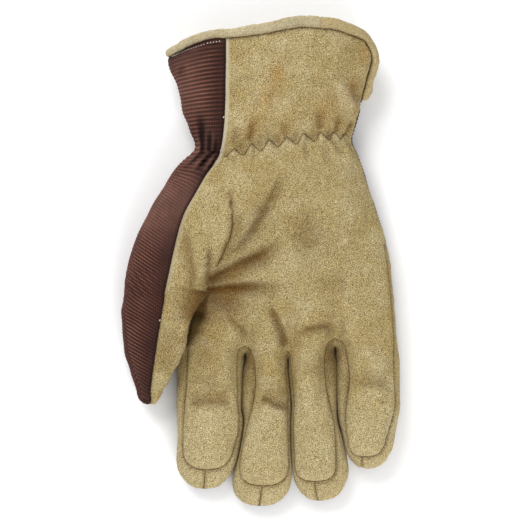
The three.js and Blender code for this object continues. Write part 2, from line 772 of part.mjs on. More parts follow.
// A piece of the skin with a wall of its own
function pieceGeometry(node, wall) {
  const own = quads.filter((quad) => quad.node === node);
  const { border, moves } = bordersOf(own);
  const positions = [];
  const slots = new Map();
  const slotOf = (corner, inside) => {
    const key = `${corner.id} ${inside}`;
    if (!slots.has(key)) {
      const at = corner.at.clone();
      if (moves.has(corner.id)) at.addScaledVector(moves.get(corner.id), SEAM_GAP / 2);
      at.z = Math.max(at.z, 0);
      if (inside) at.addScaledVector(normals[corner.id], -wall);
      slots.set(key, positions.length / 3);
      positions.push(at.x, at.y, at.z);
    }
    return slots.get(key);
  };
  const index = [];
  own.forEach(({ corners }) => {
    const outer = corners.map((corner) => slotOf(corner, false));
    const inner = corners.map((corner) => slotOf(corner, true));
    index.push(outer[0], outer[1], outer[2], outer[0], outer[2], outer[3]);
    index.push(inner[0], inner[2], inner[1], inner[0], inner[3], inner[2]);
  });
  border.forEach(({ from, to }) => {
    const a = slotOf(from, false);
    const b = slotOf(to, false);
    const c = slotOf(to, true);
    const d = slotOf(from, true);
    if (from.id < to.id) {
      index.push(a, c, b, a, d, c);
    } else {
      index.push(a, d, b, b, d, c);
    }
  });
  const geometry = new THREE.BufferGeometry();
  geometry.setAttribute('position', new THREE.Float32BufferAttribute(positions, 3));
  geometry.setIndex(index);
  geometry.computeVertexNormals();
  return geometry;
}

// Edge that the binding covers: up the front of the vent, round the opening and down the back of the vent
function bindingPath() {
  const frontEdge = upper.slice(0, ventRow + 1).map((row) => row.front[row.front.length - 1]);
  const backEdge = upper.slice(0, ventRow + 1).map((row) => row.back[row.back.length - 1]);
  const hemFront = upper[0].front.slice(1, -1).reverse();
  const hemLeft = upperLeft[0];
  const hemBack = upper[0].back.slice(1, -1);
  return [...frontEdge.reverse(), ...hemFront, ...hemLeft, ...hemBack, ...backEdge];
}

function bindingGeometry() {
  const path = bindingPath();
  const positions = [];
  path.forEach((step, p) => {
    const before = path[Math.max(p - 1, 0)].at;
    const after = path[Math.min(p + 1, path.length - 1)].at;
    const along = after.clone().sub(before).normalize();
    const normal = normals[step.id].clone();
    normal.z *= 1 + BINDING_FLATNESS;
    normal.addScaledVector(along, -normal.dot(along)).normalize();
    const out = along.clone().cross(normal).normalize();
    const centre = step.at.clone();
    if (p === 0) centre.addScaledVector(along, BINDING_END_SHORT);
    if (p === path.length - 1) centre.addScaledVector(along, -BINDING_END_SHORT);
    centre.addScaledVector(out, (BINDING_WIDTH + SEAM_GAP) / 2);
    centre.addScaledVector(normal, -LEATHER_WALL / 2);
    for (let i = 0; i < BINDING_SIDES; i += 1) {
      const angle = (2 * Math.PI * (i + 0.5)) / BINDING_SIDES;
      const grow = 1 / Math.cos(Math.PI / BINDING_SIDES);
      const at = centre.clone();
      at.addScaledVector(out, (Math.cos(angle) * grow * BINDING_WIDTH) / 2);
      at.addScaledVector(normal, (Math.sin(angle) * grow * BINDING_THICKNESS) / 2);
      positions.push(at.x, at.y, at.z);
    }
  });
  const index = [];
  for (let p = 0; p < path.length - 1; p += 1) {
    for (let i = 0; i < BINDING_SIDES; i += 1) {
      const a = p * BINDING_SIDES + i;
      const b = p * BINDING_SIDES + ((i + 1) % BINDING_SIDES);
      index.push(a, b + BINDING_SIDES, b, a, a + BINDING_SIDES, b + BINDING_SIDES);
    }
  }
  const end = (path.length - 1) * BINDING_SIDES;
  for (let i = 1; i < BINDING_SIDES - 1; i += 1) {
    index.push(0, i, i + 1, end, end + i + 1, end + i);
  }
  const geometry = new THREE.BufferGeometry();
  geometry.setAttribute('position', new THREE.Float32BufferAttribute(positions, 3));
  geometry.setIndex(index);
  geometry.computeVertexNormals();
  return geometry;
}

const glove = new THREE.Group();
function addPiece(name, geometry, finish) {
  const { colour, roughness } = FINISHES[finish];
  const material = new THREE.MeshStandardMaterial({ color: colour, roughness, metalness: 0 });
  const mesh = new THREE.Mesh(geometry, material);
  mesh.name = name;
  glove.add(mesh);
}
addPiece(LEATHER_NODE, pieceGeometry(LEATHER_NODE, LEATHER_WALL), 'deerskin');
addPiece(FABRIC_NODE, pieceGeometry(FABRIC_NODE, FABRIC_WALL), 'ribbed_fabric');
STRIPS.forEach((strip) => addPiece(strip, pieceGeometry(strip, LEATHER_WALL), 'deerskin'));
addPiece('hem_binding', bindingGeometry(), 'binding_leather');

// Stands on the surface with the middle of its box at the origin
const box = new THREE.Box3().setFromObject(glove);
glove.position.set(-(box.min.x + box.max.x) / 2, -(box.min.y + box.max.y) / 2, -box.min.z);

export default glove;
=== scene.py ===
"""Right-hand deerskin work glove, lying on its back with the palm up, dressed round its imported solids.

Everything is modelled in millimetres in the frame of the glove's source and moved into place in metres.
"""
import json
import logging
import math
from dataclasses import dataclass, field
from enum import Enum
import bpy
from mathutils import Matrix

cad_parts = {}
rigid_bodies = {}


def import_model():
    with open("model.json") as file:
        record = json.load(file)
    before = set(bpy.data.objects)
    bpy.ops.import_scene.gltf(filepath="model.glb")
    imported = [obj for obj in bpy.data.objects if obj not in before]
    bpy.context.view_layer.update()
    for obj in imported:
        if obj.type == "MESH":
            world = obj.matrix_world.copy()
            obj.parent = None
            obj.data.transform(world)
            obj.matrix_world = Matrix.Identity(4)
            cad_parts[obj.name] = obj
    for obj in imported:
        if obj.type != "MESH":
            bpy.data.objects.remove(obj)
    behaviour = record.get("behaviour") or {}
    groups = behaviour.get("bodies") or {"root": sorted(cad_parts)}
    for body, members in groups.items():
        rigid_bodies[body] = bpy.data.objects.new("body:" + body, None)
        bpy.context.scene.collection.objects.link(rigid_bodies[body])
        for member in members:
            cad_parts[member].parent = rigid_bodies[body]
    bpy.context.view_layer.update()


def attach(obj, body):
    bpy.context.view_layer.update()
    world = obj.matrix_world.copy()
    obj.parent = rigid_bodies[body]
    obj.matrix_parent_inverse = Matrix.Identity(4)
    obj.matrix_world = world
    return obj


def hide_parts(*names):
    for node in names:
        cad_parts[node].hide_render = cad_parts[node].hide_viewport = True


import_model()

from types import SimpleNamespace
from typing import ClassVar, Sequence

import bpy
import numpy as np
from mathutils import Vector
from mathutils.kdtree import KDTree

LOG = logging.getLogger("glove")

Array = np.ndarray
Colour = tuple[float, float, float, float]
Material = bpy.types.Material
Piece = bpy.types.Object
Socket = bpy.types.NodeSocket

MM = 0.001
# Where the middle of the source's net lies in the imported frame, in mm
FRAME_SHIFT = np.array([-0.1085, 1.1276, 0.0])
# The photograph's frame, in mm over the glove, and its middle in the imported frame
VIEW_WIDTH = 266.2
VIEW_MIDDLE = (0.14, 0.63)

# Walls, gaps, insets and lifts of the pattern, in mm
LEATHER_WALL = 1.5
FABRIC_WALL = 1.2
SEAM_GAP = 0.3
CROTCH_DEPTH = 1.5
GAP_CLOSE = 0.36
BACK_SHORTER = 1.5
BACK_RIGHT_SHIFT = [0, 2.8, 3.3, 4.6, 5.2, 6, 9, 9.8], [-3.4, -3.4, 0.9, 0.7, 0, -2, -2, 0]
HEM_LIFT = 1.5
LEFT_INSET = 2.5
BACK_SEAM_INSET = 0.9
FINGER_NOSE = 2.4
THUMB_EDGE_INSET = 0.4
FABRIC_HEM_ARCH = 2.3
RING_HEM_ARCH = 1.9
CROTCH_RISE = {"index": 1.2, "ring": 4.3}
SIDE_GIRTH = 13.0
LITTLE_ROOT_BULGE = 1.6

# Sections of the hand that other things refer to
VENT_SECTION = 3
STRIP_SECTION = 9
THUMB_CROTCH_SECTION = 11
FINGER_CROTCH_SECTION = 13

# The rounded end of a pad: its width at the very end, as a share, and the fullness of its curve
END_WIDTH = 0.5
END_FULLNESS = 2.4
END_REACH = (1 - END_WIDTH**END_FULLNESS) ** (1 / END_FULLNESS)


class Node(Enum):
    """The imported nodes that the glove's pieces stand for."""

    PALM = "palm_panel"
    BACK = "back_panel"
    INDEX_OUTER = "strip_index_outer"
    INDEX_MIDDLE = "fourchette_index_middle"
    MIDDLE_RING = "fourchette_middle_ring"
    RING_LITTLE = "fourchette_ring_little"
    LITTLE_OUTER = "strip_little_outer"
    BINDING = "hem_binding"


NODES = list(Node)
BETWEEN_FINGERS = (Node.INDEX_MIDDLE, Node.MIDDLE_RING, Node.RING_LITTLE)
PALM_CODE = NODES.index(Node.PALM)
BACK_CODE = NODES.index(Node.BACK)
STRIP_CODES = [NODES.index(node) for node in NODES[2:7]]
NO_CODE = -1


def mix(low: float, high: float, share: float) -> float:
    """Blend two values or arrays by a share."""
    return low + (high - low) * share


def smoothstep(start: float, end: float, value: float) -> float:
    """Ease from 0 to 1 as a value or array goes from start to end."""
    share = np.clip((value - start) / (end - start), 0, 1)
    return share * share * (3 - 2 * share)


def bell(away: float, reach: float) -> float:
    """Share that falls from 1 to about a third over a reach."""
    return np.exp(-((away / reach) ** 2))


def crown(place: Array, power: float) -> Array:
    """Share that falls from 1 in the middle to 0 at 1 and -1, flatter on top the higher the power."""
    return np.clip(1 - np.abs(place) ** power, 0, 1)


class Table:
    """A table with named columns, read smoothly and without overshoot between its rows."""

    def __init__(self, columns: str, rows: Sequence[Sequence[float]]) -> None:
        """Keep the rows in order of their places.

        Args:
            columns: Names of the columns, with spaces between them. A first column named at holds
                the rows' places. Without it they stand at 0, 1, 2 and so on.
            rows: One row of numbers for each place.
        """
        self.columns = columns.split()
        self.rows = np.array(rows, dtype=float)
        self.places = np.arange(len(rows), dtype=float)
        if self.columns[0] == "at":
            self.columns = self.columns[1:]
            self.rows = self.rows[np.argsort(self.rows[:, 0])]
            self.places, self.rows = self.rows[:, 0], self.rows[:, 1:]
        slopes = np.diff(self.rows, axis=0) / np.diff(self.places)[:, None]
        before, after = slopes[:-1], slopes[1:]
        product = before * after
        total = np.where(product > 0, before + after, 1)
        middle = np.where(product > 0, 2 * product / total, 0)
        self.tangents = np.vstack([slopes[:1], middle, slopes[-1:]])

    def __call__(self, at: float | Array) -> SimpleNamespace:
        """Read every column at a place or at an array of places.

        Args:
            at: The place or places.

        Returns:
            The columns by name.
        """
        place = np.clip(at, self.places[0], self.places[-1])
        i = np.clip(np.searchsorted(self.places, place, side="right") - 1, 0, len(self.places) - 2)
        width = self.places[i + 1] - self.places[i]
        t = (place - self.places[i]) / width
        result = {}
        for column, name in enumerate(self.columns):
            low, high = self.rows[i, column], self.rows[i + 1, column]
            leave, arrive = self.tangents[i, column], self.tangents[i + 1, column]
            value = low * (1 + 2 * t) * (1 - t) ** 2 + high * t * t * (3 - 2 * t)
            result[name] = value + width * (leave * t * (1 - t) ** 2 - arrive * t * t * (1 - t))
        return SimpleNamespace(**result)


# Sections of the hand from the hem to the finger crotches, the thumb side's only down to the thumb crotch
THUMB_SIDE = Table("outline_x outline_y seam_x seam_y", [
    [-47.5, 103.6, -17.6, 111.8], [-46.5, 97, -17.6, 104], [-42.8, 89, -17.8, 93], [-40.6, 79, -18, 81.5],
    [-37, 67.5, -18.8, 67], [-33.8, 57.8, -21.5, 53], [-42, 49.5, -27.5, 44], [-51.2, 35, -33, 34.5],
    [-58.5, 22.5, -39.6, 22], [-65.3, 7.5, -43.7, 7], [-68.6, -5, -46.3, -5], [-70.6, -19, -48.9, -17],
])
PALM_SIDE = Table("thumb_x thumb_y index_x middle_x middle_y ring_x right_x right_y", [
    [-6, 113, 8, 21, 117.4, 36, 53, 111.6], [-6, 105.5, 8, 21, 108, 36, 56.9, 103],
    [-6.5, 94, 7.5, 20.5, 95, 34, 54.6, 93], [-7.5, 81.5, 7, 20, 81, 33, 51.5, 80],
    [-9, 67.5, 6, 19, 68.5, 32, 48.8, 69.5], [-10, 54.5, 5, 18, 58.5, 31.4, 46.9, 61.5],
    [-10.5, 45, 4, 18, 47, 32.5, 51, 51], [-13, 34, 3.5, 18.5, 34, 34.5, 55.6, 36],
    [-14.5, 21.5, 3, 19, 20, 36.5, 60.5, 21.5], [-17.6, 7, 2.5, 19.5, 5, 38.5, 64.6, 7.5],
    [-22.5, -4, 2, 20, -6, 39.2, 66.5, -5.5], [-26.8, -14.3, 0.5, 19.5, -15.5, 39.5, 67.7, -16],
    [-35, -29, -4, 17, -30, 39, 69, -29], [-37.5, -43.6, -7.9, 14, -46.9, 38, 70, -42],
])
HEIGHTS = Table("top left_front left_back right_front right_back right_inset", [
    [37, 21, 12, 22, 11, 0], [36.5, 21, 11, 21, 10.5, 0], [35, 20, 9, 18.5, 9, 0], [32, 18, 7, 15, 8, 0.2],
    [28.5, 16, 6, 15, 6.5, 1.2], [24, 14, 5, 14, 5, 1.5], [28, 15, 5, 15.5, 5, 1.6], [33, 16, 5, 17, 5, 1.6],
    [35, 16.5, 5, 18, 5, 1.6], [34, 16.5, 5, 18.5, 4.5, 1.4], [32, 17, 5, 18, 4.5, 1.2],
    [30, 17, 4.5, 17.5, 4.5, 1.2], [27, 16, 3.5, 17, 4, 1.5], [24, 16.5, 4, 16.5, 4, 1.6],
])
PALM_LEFT_BULGE = Table("out", [[0], [3.2], [4.2]])
# Valleys that run up the palm from a crotch: column of the table, first and last section, depth and width
VALLEYS = [
    ("thumb_x", 8, THUMB_CROTCH_SECTION, 6.5, 9.0),
    ("index_x", 11, FINGER_CROTCH_SECTION, 6.5, 6.0),
    ("middle_x", 11, FINGER_CROTCH_SECTION, 6.5, 6.0),
    ("ring_x", 11, FINGER_CROTCH_SECTION, 6.5, 6.0),
]


@dataclass(frozen=True)
class FingerShape:
    """Ends and front seams of one finger.

    In its rows left and right are the seams, and outer_left and outer_right the outline.
    pad_end and back_end are where the pad and the back end, and pad_round and back_round the lengths over
    which they round off. tip_seam is how many columns the seam in the middle of the tip lies to the right.
    """

    pad_end: float
    pad_round: float
    back_end: float
    back_round: float
    tip_seam: int
    rows: Table


# Columns of a finger's table, by the place along it
SEAMS = "at left right outer_left outer_right"
FINGERS = [
    FingerShape(-106.3, 10.5, -116.2, 14, -2, Table(SEAMS, [
        [-43.8, -37.5, -11.4, -42.1, -7.9], [-47.5, -37.5, -11.5, -42.1, -8.4],
        [-53.6, -37.7, -11.5, -42.1, -9.4], [-63.8, -38, -11.3, -42.1, -9.9],
        [-74, -39, -11, -42.6, -10.2], [-80, -39.5, -10.4, -42.3, -9], [-86.7, -40, -10.7, -42.1, -9.8],
        [-96.9, -40, -13.5, -42.8, -11.7], [-104, -40, -14.5, -42.5, -14],
    ])),
    FingerShape(-114.5, 11, -125, 13.3, -2, Table(SEAMS, [
        [-45.4, -4.9, 13, -7.9, 14], [-48.5, -4.8, 13, -7.4, 13.8], [-53.6, -3.5, 13.2, -8.6, 13.8],
        [-63.8, -2.8, 13.8, -9.1, 14.7], [-74, -4.3, 14.3, -9.4, 15.5], [-80, -6, 14.2, -8.2, 15],
        [-86.7, -7.8, 14.3, -9, 15], [-96.9, -10, 14.7, -11, 15.4], [-103.5, -11, 15, -12.8, 15.7],
        [-112, -12, 15, -15.5, 16],
    ])),
    FingerShape(-112.5, 8, -122.2, 15, -1, Table(SEAMS, [
        [-43.5, 14.9, 34, 14, 38], [-47.5, 14.9, 33.8, 14.5, 37.6], [-53.6, 15.2, 32.9, 14.4, 38.5],
        [-63.8, 16.2, 33.6, 15.4, 38.5], [-74, 16.8, 35.7, 16.2, 38.6], [-80, 16.4, 37.2, 15.7, 39],
        [-86.7, 16.3, 38.3, 15.7, 41.3], [-96.9, 16.6, 38.7, 16.1, 43.6], [-102, 16.8, 38.8, 16.4, 44.6],
        [-109, 17, 38.8, 16.8, 43.8],
    ])),
    FingerShape(-100, 7.7, -105.4, 11.5, -6, Table(SEAMS, [
        [-41, 42.4, 68.4, 38, 70], [-43.8, 42.6, 68.3, 38.7, 70], [-48.5, 43.6, 68.2, 39.3, 70.3],
        [-61.2, 44.9, 68.5, 39.4, 70.9], [-71.4, 43.6, 69, 39.6, 71], [-77.5, 42.9, 68.2, 40, 70.4],
        [-86.7, 43.2, 65.7, 42.2, 68.2], [-92.3, 44.2, 64, 43.5, 67.2], [-96, 44.4, 63, 43.8, 66],
    ])),
]
FINGER_HEIGHTS = Table("at seam dome back_seam lift", [
    [0, 16.5, 7, 4, 0], [0.4, 16, 6.5, 4, 0], [0.75, 15.5, 6, 4, 0.4], [1, 14.5, 5.5, 4, 1.5],
])
THUMB_SHAPE = FingerShape(-70.6, 6, -71.4, 6.5, 0, Table(
    "at left seam right left_front right_front dome left_back right_back undercut", [
        [-17, -70.6, -48.9, -26.8, 17, 23.5, 9, 4.5, 2, 0],
        [-23.5, -71.1, -49.7, -30.6, 16, 24, 8, 4.5, 9, 6],
        [-31.6, -70.7, -50.9, -35.2, 15.5, 23.5, 7.5, 4.5, 10, 7],
        [-40.3, -70.4, -52.3, -36.7, 15, 22.5, 7, 4.5, 10, 6.5],
        [-53.6, -68.1, -54.4, -41.8, 14, 20, 6, 4.5, 9, 4],
        [-66, -63.8, -56.2, -49.5, 12.5, 15, 4, 4.5, 7, 2],
    ],
))


@dataclass(frozen=True)
class Crease:
    """A crease along a line of the palm: a valley, with a lip on the left of the line's direction.

    A negative depth makes a soft ridge. shade is the painted shade of the valley, or its painted highlight
    where it is negative.
    """

    SHADE_SPREAD: ClassVar[float] = 1.2
    LIP_SIDE: ClassVar[float] = 0.4

    path: tuple[tuple[float, float], ...]
    depth: float
    width: float
    shade: float = 0.0
    fade_start: float = 0.25
    fade_end: float = 0.25
    lip: float = 0.0
    lip_width: float = 2.0

    def read(self, x: Array, y: Array) -> tuple[Array, Array]:
        """Rise and painted shade that this crease gives to points.

        Args:
            x: Places across the hand.
            y: Places along the hand.

        Returns:
            The rise in mm and the painted shade from -1 to 1, which is painted highlight where it is
            negative.
        """
        path = np.array(self.path)
        lengths = np.linalg.norm(np.diff(path, axis=0), axis=1)
        starts = np.concatenate([[0], np.cumsum(lengths)])
        away = np.full(x.shape, np.inf)
        side = np.zeros(x.shape)
        along = np.zeros(x.shape)
        for start, end, length, passed in zip(path[:-1], path[1:], lengths, starts):
            way = (end - start) / length
            share = np.clip((x - start[0]) * way[0] + (y - start[1]) * way[1], 0, length)
            dx = x - start[0] - share * way[0]
            dy = y - start[1] - share * way[1]
            distance = np.hypot(dx, dy)
            nearer = distance < away
            away = np.where(nearer, distance, away)
            side = np.where(nearer, np.sign(way[0] * dy - way[1] * dx), side)
            along = np.where(nearer, (passed + share) / starts[-1], along)
        fade = smoothstep(-0.02, self.fade_start, along) * smoothstep(1.02, 1 - self.fade_end, along)
        lit = side > 0
        valley_width = np.where(lit & (self.lip > 0), self.LIP_SIDE * self.width, self.width)
        valley = bell(away, valley_width)
        lip = self.lip * np.where(lit, bell(away - self.lip_width, self.lip_width), math.exp(-1) * valley)
        dark = bell(away, valley_width * self.SHADE_SPREAD)
        return fade * (lip - self.depth * valley), fade * self.shade * dark


# The zigzag stitch over the elastic of the wrist, in mm
ZIGZAG = (
    (-18.6, 52.6), (-17.6, 52.4), (-13.4, 56.6), (-9.4, 53.4), (-8.2, 53.6), (-4.5, 59.3), (-0.3, 55.4),
    (0.8, 55.6), (4.3, 61.6), (8.6, 57.4), (9.6, 57.7), (13.4, 62.6), (18.1, 58.7), (19, 59), (21.7, 64.6),
    (27.2, 60.2), (28.1, 60.5), (30.2, 65.1), (34.8, 60.8), (35.6, 61), (37, 65.1), (40.8, 61.4),
    (42.8, 64.9), (46.4, 60.8),
)
# Rows of folds, in mm: path, depth, width, painted shade (painted highlight where negative), shares of the
# path that fade in and out, and where there is a lip its height and width
PALM_FOLDS = [
    (((-23.8, -4.2), (-21, 0.2), (-18.6, 5.1), (-16.1, 10.4), (-14.3, 18.5), (-14.9, 25.8), (-16.1, 37)),
     1.0, 1.1, 0.95, 0.05, 0.15, 0.5, 1.5),
    (((-21, -3), (-15.5, 5), (-12.6, 12), (-11.8, 20), (-12.8, 28)), 1.3, 3.6, 0.4, 0.2, 0.3),
    (((-27.9, -14), (-27, -7.6), (-26.8, -3.9), (-26.4, 5.1), (-25.2, 11)),
     1.3, 1.8, 0.8, 0.1, 0.4, 0.8, 2.0),
    (((-17, 0), (-10.8, 7), (-5.5, 13.5), (-0.7, 20.5), (3.2, 28), (8.4, 38), (11.5, 47)),
     2.2, 3.4, 0.55, 0.2, 0.3, 0.8, 4.0),
    (((-27.5, -9.4), (-19, -5.6), (-12.9, -2.4), (-5.9, 0.8), (0.2, 3.6), (7, 7), (13, 12)),
     2.6, 5.6, 0.9, 0.03, 0.4, 1.1, 2.4),
    (((-27.8, -14.8), (-20.1, -14.2), (-14.1, -13.8), (-6.7, -13.2), (-1.9, -13), (20, -13.2)),
     2.4, 5.0, 1.0, 0.03, 0.7, 0.7, 2.2),
    (((-28, -11.5), (-16, -8), (0, -3)), 0.2, 3.6, 0.75, 0.02, 0.6),
    (((-16, 0), (-4, 15), (6, 34)), 0.3, 5.5, 0.34, 0.3, 0.3),
    (((-27, -19), (-17, -20), (-2, -21)), 1.0, 9.5, 0.8, 0.1, 0.6),
    (((-28.4, 3), (-29, -4), (-30.2, -13)), -0.3, 1.4, -0.7, 0.3, 0.5),
    (((-43, -34), (-52, -58)), 0.3, 7.0, 0.3, 0.2, 0.2),
    (((-29.5, -15), (-31, -24), (-33, -36)), 1.0, 8.5, 0.9, 0.05, 0.4),
    (((-33, -34), (-30, -48), (-32, -62)), 0.4, 8.0, 0.34, 0.1, 0.5),
    (((-26, -7.4), (-12, -0.4), (0, 6)), -0.4, 1.6, -0.6, 0.1, 0.5),
    (((-20, -12), (-8, -11.4), (8, -10.8)), -0.4, 1.3, -0.5, 0.3, 0.4),
    (((-24, 4), (-18, 14), (-17.6, 26)), -0.5, 2.2, -0.5, 0.2, 0.5),
    (((-14, 4), (-6, 16), (-1, 28)), -0.5, 2.4, -0.5, 0.2, 0.5),
    (((-21, -23), (-15.8, -28.9), (-9, -35), (-5.5, -41)), 1.1, 2.6, 0.6, 0.3, 0.3, 0.4, 2.5),
    (((3.4, -22), (7.4, -28), (11, -35), (13.6, -44)), 1.5, 2.8, 0.75, 0.3, 0.1, 0.6, 2.6),
    (((18.5, -38.5), (23, -35), (32.4, -32.8), (40, -33)), 1.2, 2.8, 0.65, 0.25, 0.4, 0.4, 2.5),
    (((12, 6), (22, 11), (32, 22)), 0.8, 9.5, 0.4, 0.4, 0.4),
    (((24, -10), (36, -12), (46, -8)), 0.7, 5.0, 0.25, 0.4, 0.4),
    (((-39, 22), (-36, 6), (-33.9, -8), (-36.4, -26)), 1.1, 3.6, 0.5, 0.3, 0.3, 0.3, 3.0),
    (((-36, 46), (-20, 30)), -1.5, 5.0),
    (((30, 45), (48, 26)), -1.5, 7.0),
    (((20, 48), (10, 26)), -1.2, 6.0),
    (((-6, 46), (-8, 22)), -1.0, 5.0),
]
FINGER_FOLDS = [
    (((-16, -76.5), (-26, -77.5), (-35, -78)), -0.5, 4.5, -0.6, 0.2, 0.2),
    (((13, -79), (6, -77), (0, -74.5)), -0.5, 2.4, -0.8, 0.1, 0.2),
    (((-1, -66), (4, -64.5), (12, -65)), -0.6, 2.0, -0.5, 0.2, 0.3),
    (((64, -67.5), (56, -67), (49, -67)), -0.4, 4.5, -0.5, 0.2, 0.3),
    (((48, -42), (58, -50), (66, -56)), -0.8, 3.0, -0.5, 0.3, 0.2),
    (((14.5, -75.8), (7, -73.6), (0.6, -70.6)), 1.9, 3.4, 0.65, 0.05, 0.05, 1.3, 2.2),
    (((14, -70), (7, -67.5), (0, -66)), 0.6, 4.0, 0.3, 0.2, 0.2),
    (((-14, -70.8), (-25, -72), (-37, -73.2)), 1.5, 5.0, 0.5, 0.2, 0.15, 0.8, 4.0),
    (((-20, -60), (-28, -61), (-37, -60)), 0.7, 5.0, 0.3, 0.3, 0.2),
    (((67, -63.6), (56, -62.6), (46, -63)), 1.1, 4.5, 0.35, 0.2, 0.3, 0.7, 4.0),
    (((36, -57), (27, -56), (18, -56.5)), 0.5, 4.5, 0.2, 0.2, 0.2, 0.4, 3.5),
]
CUFF_FOLDS = [
    (((38, 91), (42.5, 84), (48.5, 76.5)), -2.2, 3.0, -1.5, 0.3, 0.3),
    (((-6.4, 60), (-4.6, 66), (-3.1, 73)), 0.9, 1.8, 0.6, 0.1, 0.5),
    (((-13.6, 57.5), (-12.6, 63), (-11.6, 70)), 0.8, 1.8, 0.35, 0.1, 0.5),
    (((12.4, 63), (12.2, 67), (12.8, 71)), 0.8, 1.6, 0.4, 0.1, 0.5),
    (((30.4, 66), (29.7, 71), (29.5, 78)), 1.2, 2.4, 0.5, 0.1, 0.5),
    (((50.5, 76), (47.4, 84), (45.2, 94)), 1.8, 3.2, 0.45, 0.3, 0.4, 1.5, 3.6),
    (((37.6, 65), (38.4, 69), (40.4, 75)), 1.4, 1.9, 0.6, 0.1, 0.5, 0.8, 1.8),
    (((43.2, 65), (44.6, 68), (47.2, 72)), 1.2, 1.6, 0.6, 0.1, 0.4, 0.6, 1.5),
    (((49, 52), (44.5, 58.5), (40.8, 65)), 1.2, 1.4, 0.45, 0.4, 0.1, 0.8, 1.6),
    (((44, 51), (38, 58), (33.5, 65)), 0.9, 1.5, 0.3, 0.5, 0.1, 0.6, 1.8),
    (ZIGZAG[::-1], 0.7, 1.1, 0.3, 0.02, 0.02, 0.6, 1.8),
]
FABRIC_FOLDS = [
    (((-33.4, 53.4), (-27, 53.8), (-20.6, 53.6)), 1.2, 2.0, 0.6, 0.02, 0.02),
    (((-43.5, 91.5), (-41, 95.5), (-38.6, 99.6)), 0.7, 1.2, 0.5, 0.3, 0.3),
    (((-29.6, 54.5), (-29.9, 66.3), (-31.4, 78)), 2.2, 1.7, 1.0, 0.1, 0.5),
    (((-26.2, 54.5), (-25.7, 60), (-25.6, 67)), 1.6, 1.3, 1.0, 0.1, 0.5),
    (((-23.2, 54), (-22.7, 60), (-22.7, 65)), 1.1, 1.1, 0.8, 0.1, 0.6),
    (((-27.9, 54), (-28, 62), (-28.5, 72)), -1.2, 0.9, -0.8, 0.1, 0.5),
    (((-24.5, 54.5), (-24.2, 60), (-24.2, 67)), -1.0, 0.8, -0.8, 0.1, 0.5),
    (((-31.6, 54), (-32.4, 62), (-33.6, 70)), -0.8, 1.0, -0.6, 0.1, 0.6),
    (((-30.4, 56), (-35.6, 51), (-41.5, 46)), -0.9, 1.1, -1.0, 0.1, 0.6),
    (((-25.8, 55.4), (-30.2, 50.8), (-37, 43.4)), -1.3, 1.1, -1.0, 0.1, 0.5),
    (((-22.2, 54.8), (-26, 49.2), (-31, 42)), -1.1, 0.9, -1.0, 0.1, 0.6),
    (((-28.3, 56.1), (-33.5, 51), (-40, 45.5)), 1.6, 1.4, 0.9, 0.1, 0.5, 0.9, 1.8),
    (((-23.2, 55.6), (-27.3, 51), (-33, 44)), 1.6, 1.3, 0.9, 0.1, 0.5, 0.9, 1.8),
    (((-21.2, 54.6), (-24.7, 47.9), (-28.5, 42)), 1.1, 1.1, 0.7, 0.1, 0.6, 0.6, 1.5),
]
CREASES = [Crease(*row) for row in (*PALM_FOLDS, *FINGER_FOLDS, *CUFF_FOLDS, *FABRIC_FOLDS)]
GATHER_PITCH = 9.0
GATHER_HEIGHT = 0.7
GATHER_REACH = 7.0


def wrist_puckers() -> list[Crease]:
    """Ridges with painted highlight below the teeth of the zigzag, and hollows with painted shade above its
    troughs.

    Returns:
        The ridges and hollows as creases.
    """
    puckers = []
    for x, y in (*ZIGZAG[2:21:3], ZIGZAG[22]):
        lean = 1.2 if x < 25 else 4.5
        puckers.append(Crease(((x, y - 1), (x + lean, y - 9)), -1.0, 1.9, -0.75, 0.05, 0.8))
    for x, y in ZIGZAG[3:20:3]:
        puckers.append(Crease(((x, y + 1.5), (x - 0.5, y + 9)), 0.9, 1.7, 0.3, 0.1, 0.8))
    return puckers


def wrist_line(x: Array) -> Array:
    """Place along the hand of the elastic at the wrist, by place across."""
    return mix(52.8, 61.3, (x + 19) / 66)


def palm_relief(x: Array, y: Array) -> tuple[Array, Array, Array]:
    """Rise, painted shade and painted highlight of all the creases and of the gathers at the wrist.

    Args:
        x: Places across the hand.
        y: Places along the hand.

    Returns:
        The rise in mm, the painted shade and the painted highlight.
    """
    rise = np.zeros(x.shape)
    shade = np.zeros(x.shape)
    pale = np.zeros(x.shape)
    for crease in [*CREASES, *wrist_puckers()]:
        own_rise, own_shade = crease.read(x, y)
        rise += own_rise
        shade = np.maximum(shade, own_shade)
        pale = np.maximum(pale, -own_shade)
    from_wrist = y - wrist_line(x)
    nearness = bell(from_wrist, GATHER_REACH)
    wave = np.sin(2 * np.pi * x / GATHER_PITCH) + 0.4 * np.sin(2 * np.pi * x / (0.57 * GATHER_PITCH) + 1.3)
    rise += GATHER_HEIGHT * nearness * wave
    return rise, shade, pale


@dataclass(frozen=True)
class Density:
    """How finely the skin is cut: numbers of columns and steps, and the pitch of its rows in mm."""

    fabric_front: int
    thumb_front: int
    finger_front: int
    side_steps: int
    row_pitch: float


@dataclass(frozen=True)
class Row:
    """One row of the skin: its front and back vertices, and the bulge and the sag of its two sides."""

    front: Array
    back: Array
    left_bulge: float = 0.0
    right_bulge: float = 0.0
    left_sag: float = 0.0
    right_sag: float = 0.0


def nets(rows: Sequence[Row]) -> tuple[Array, Array]:
    """Vertex ids of the fronts and of the backs of some rows."""
    return np.array([row.front for row in rows]), np.array([row.back for row in rows])


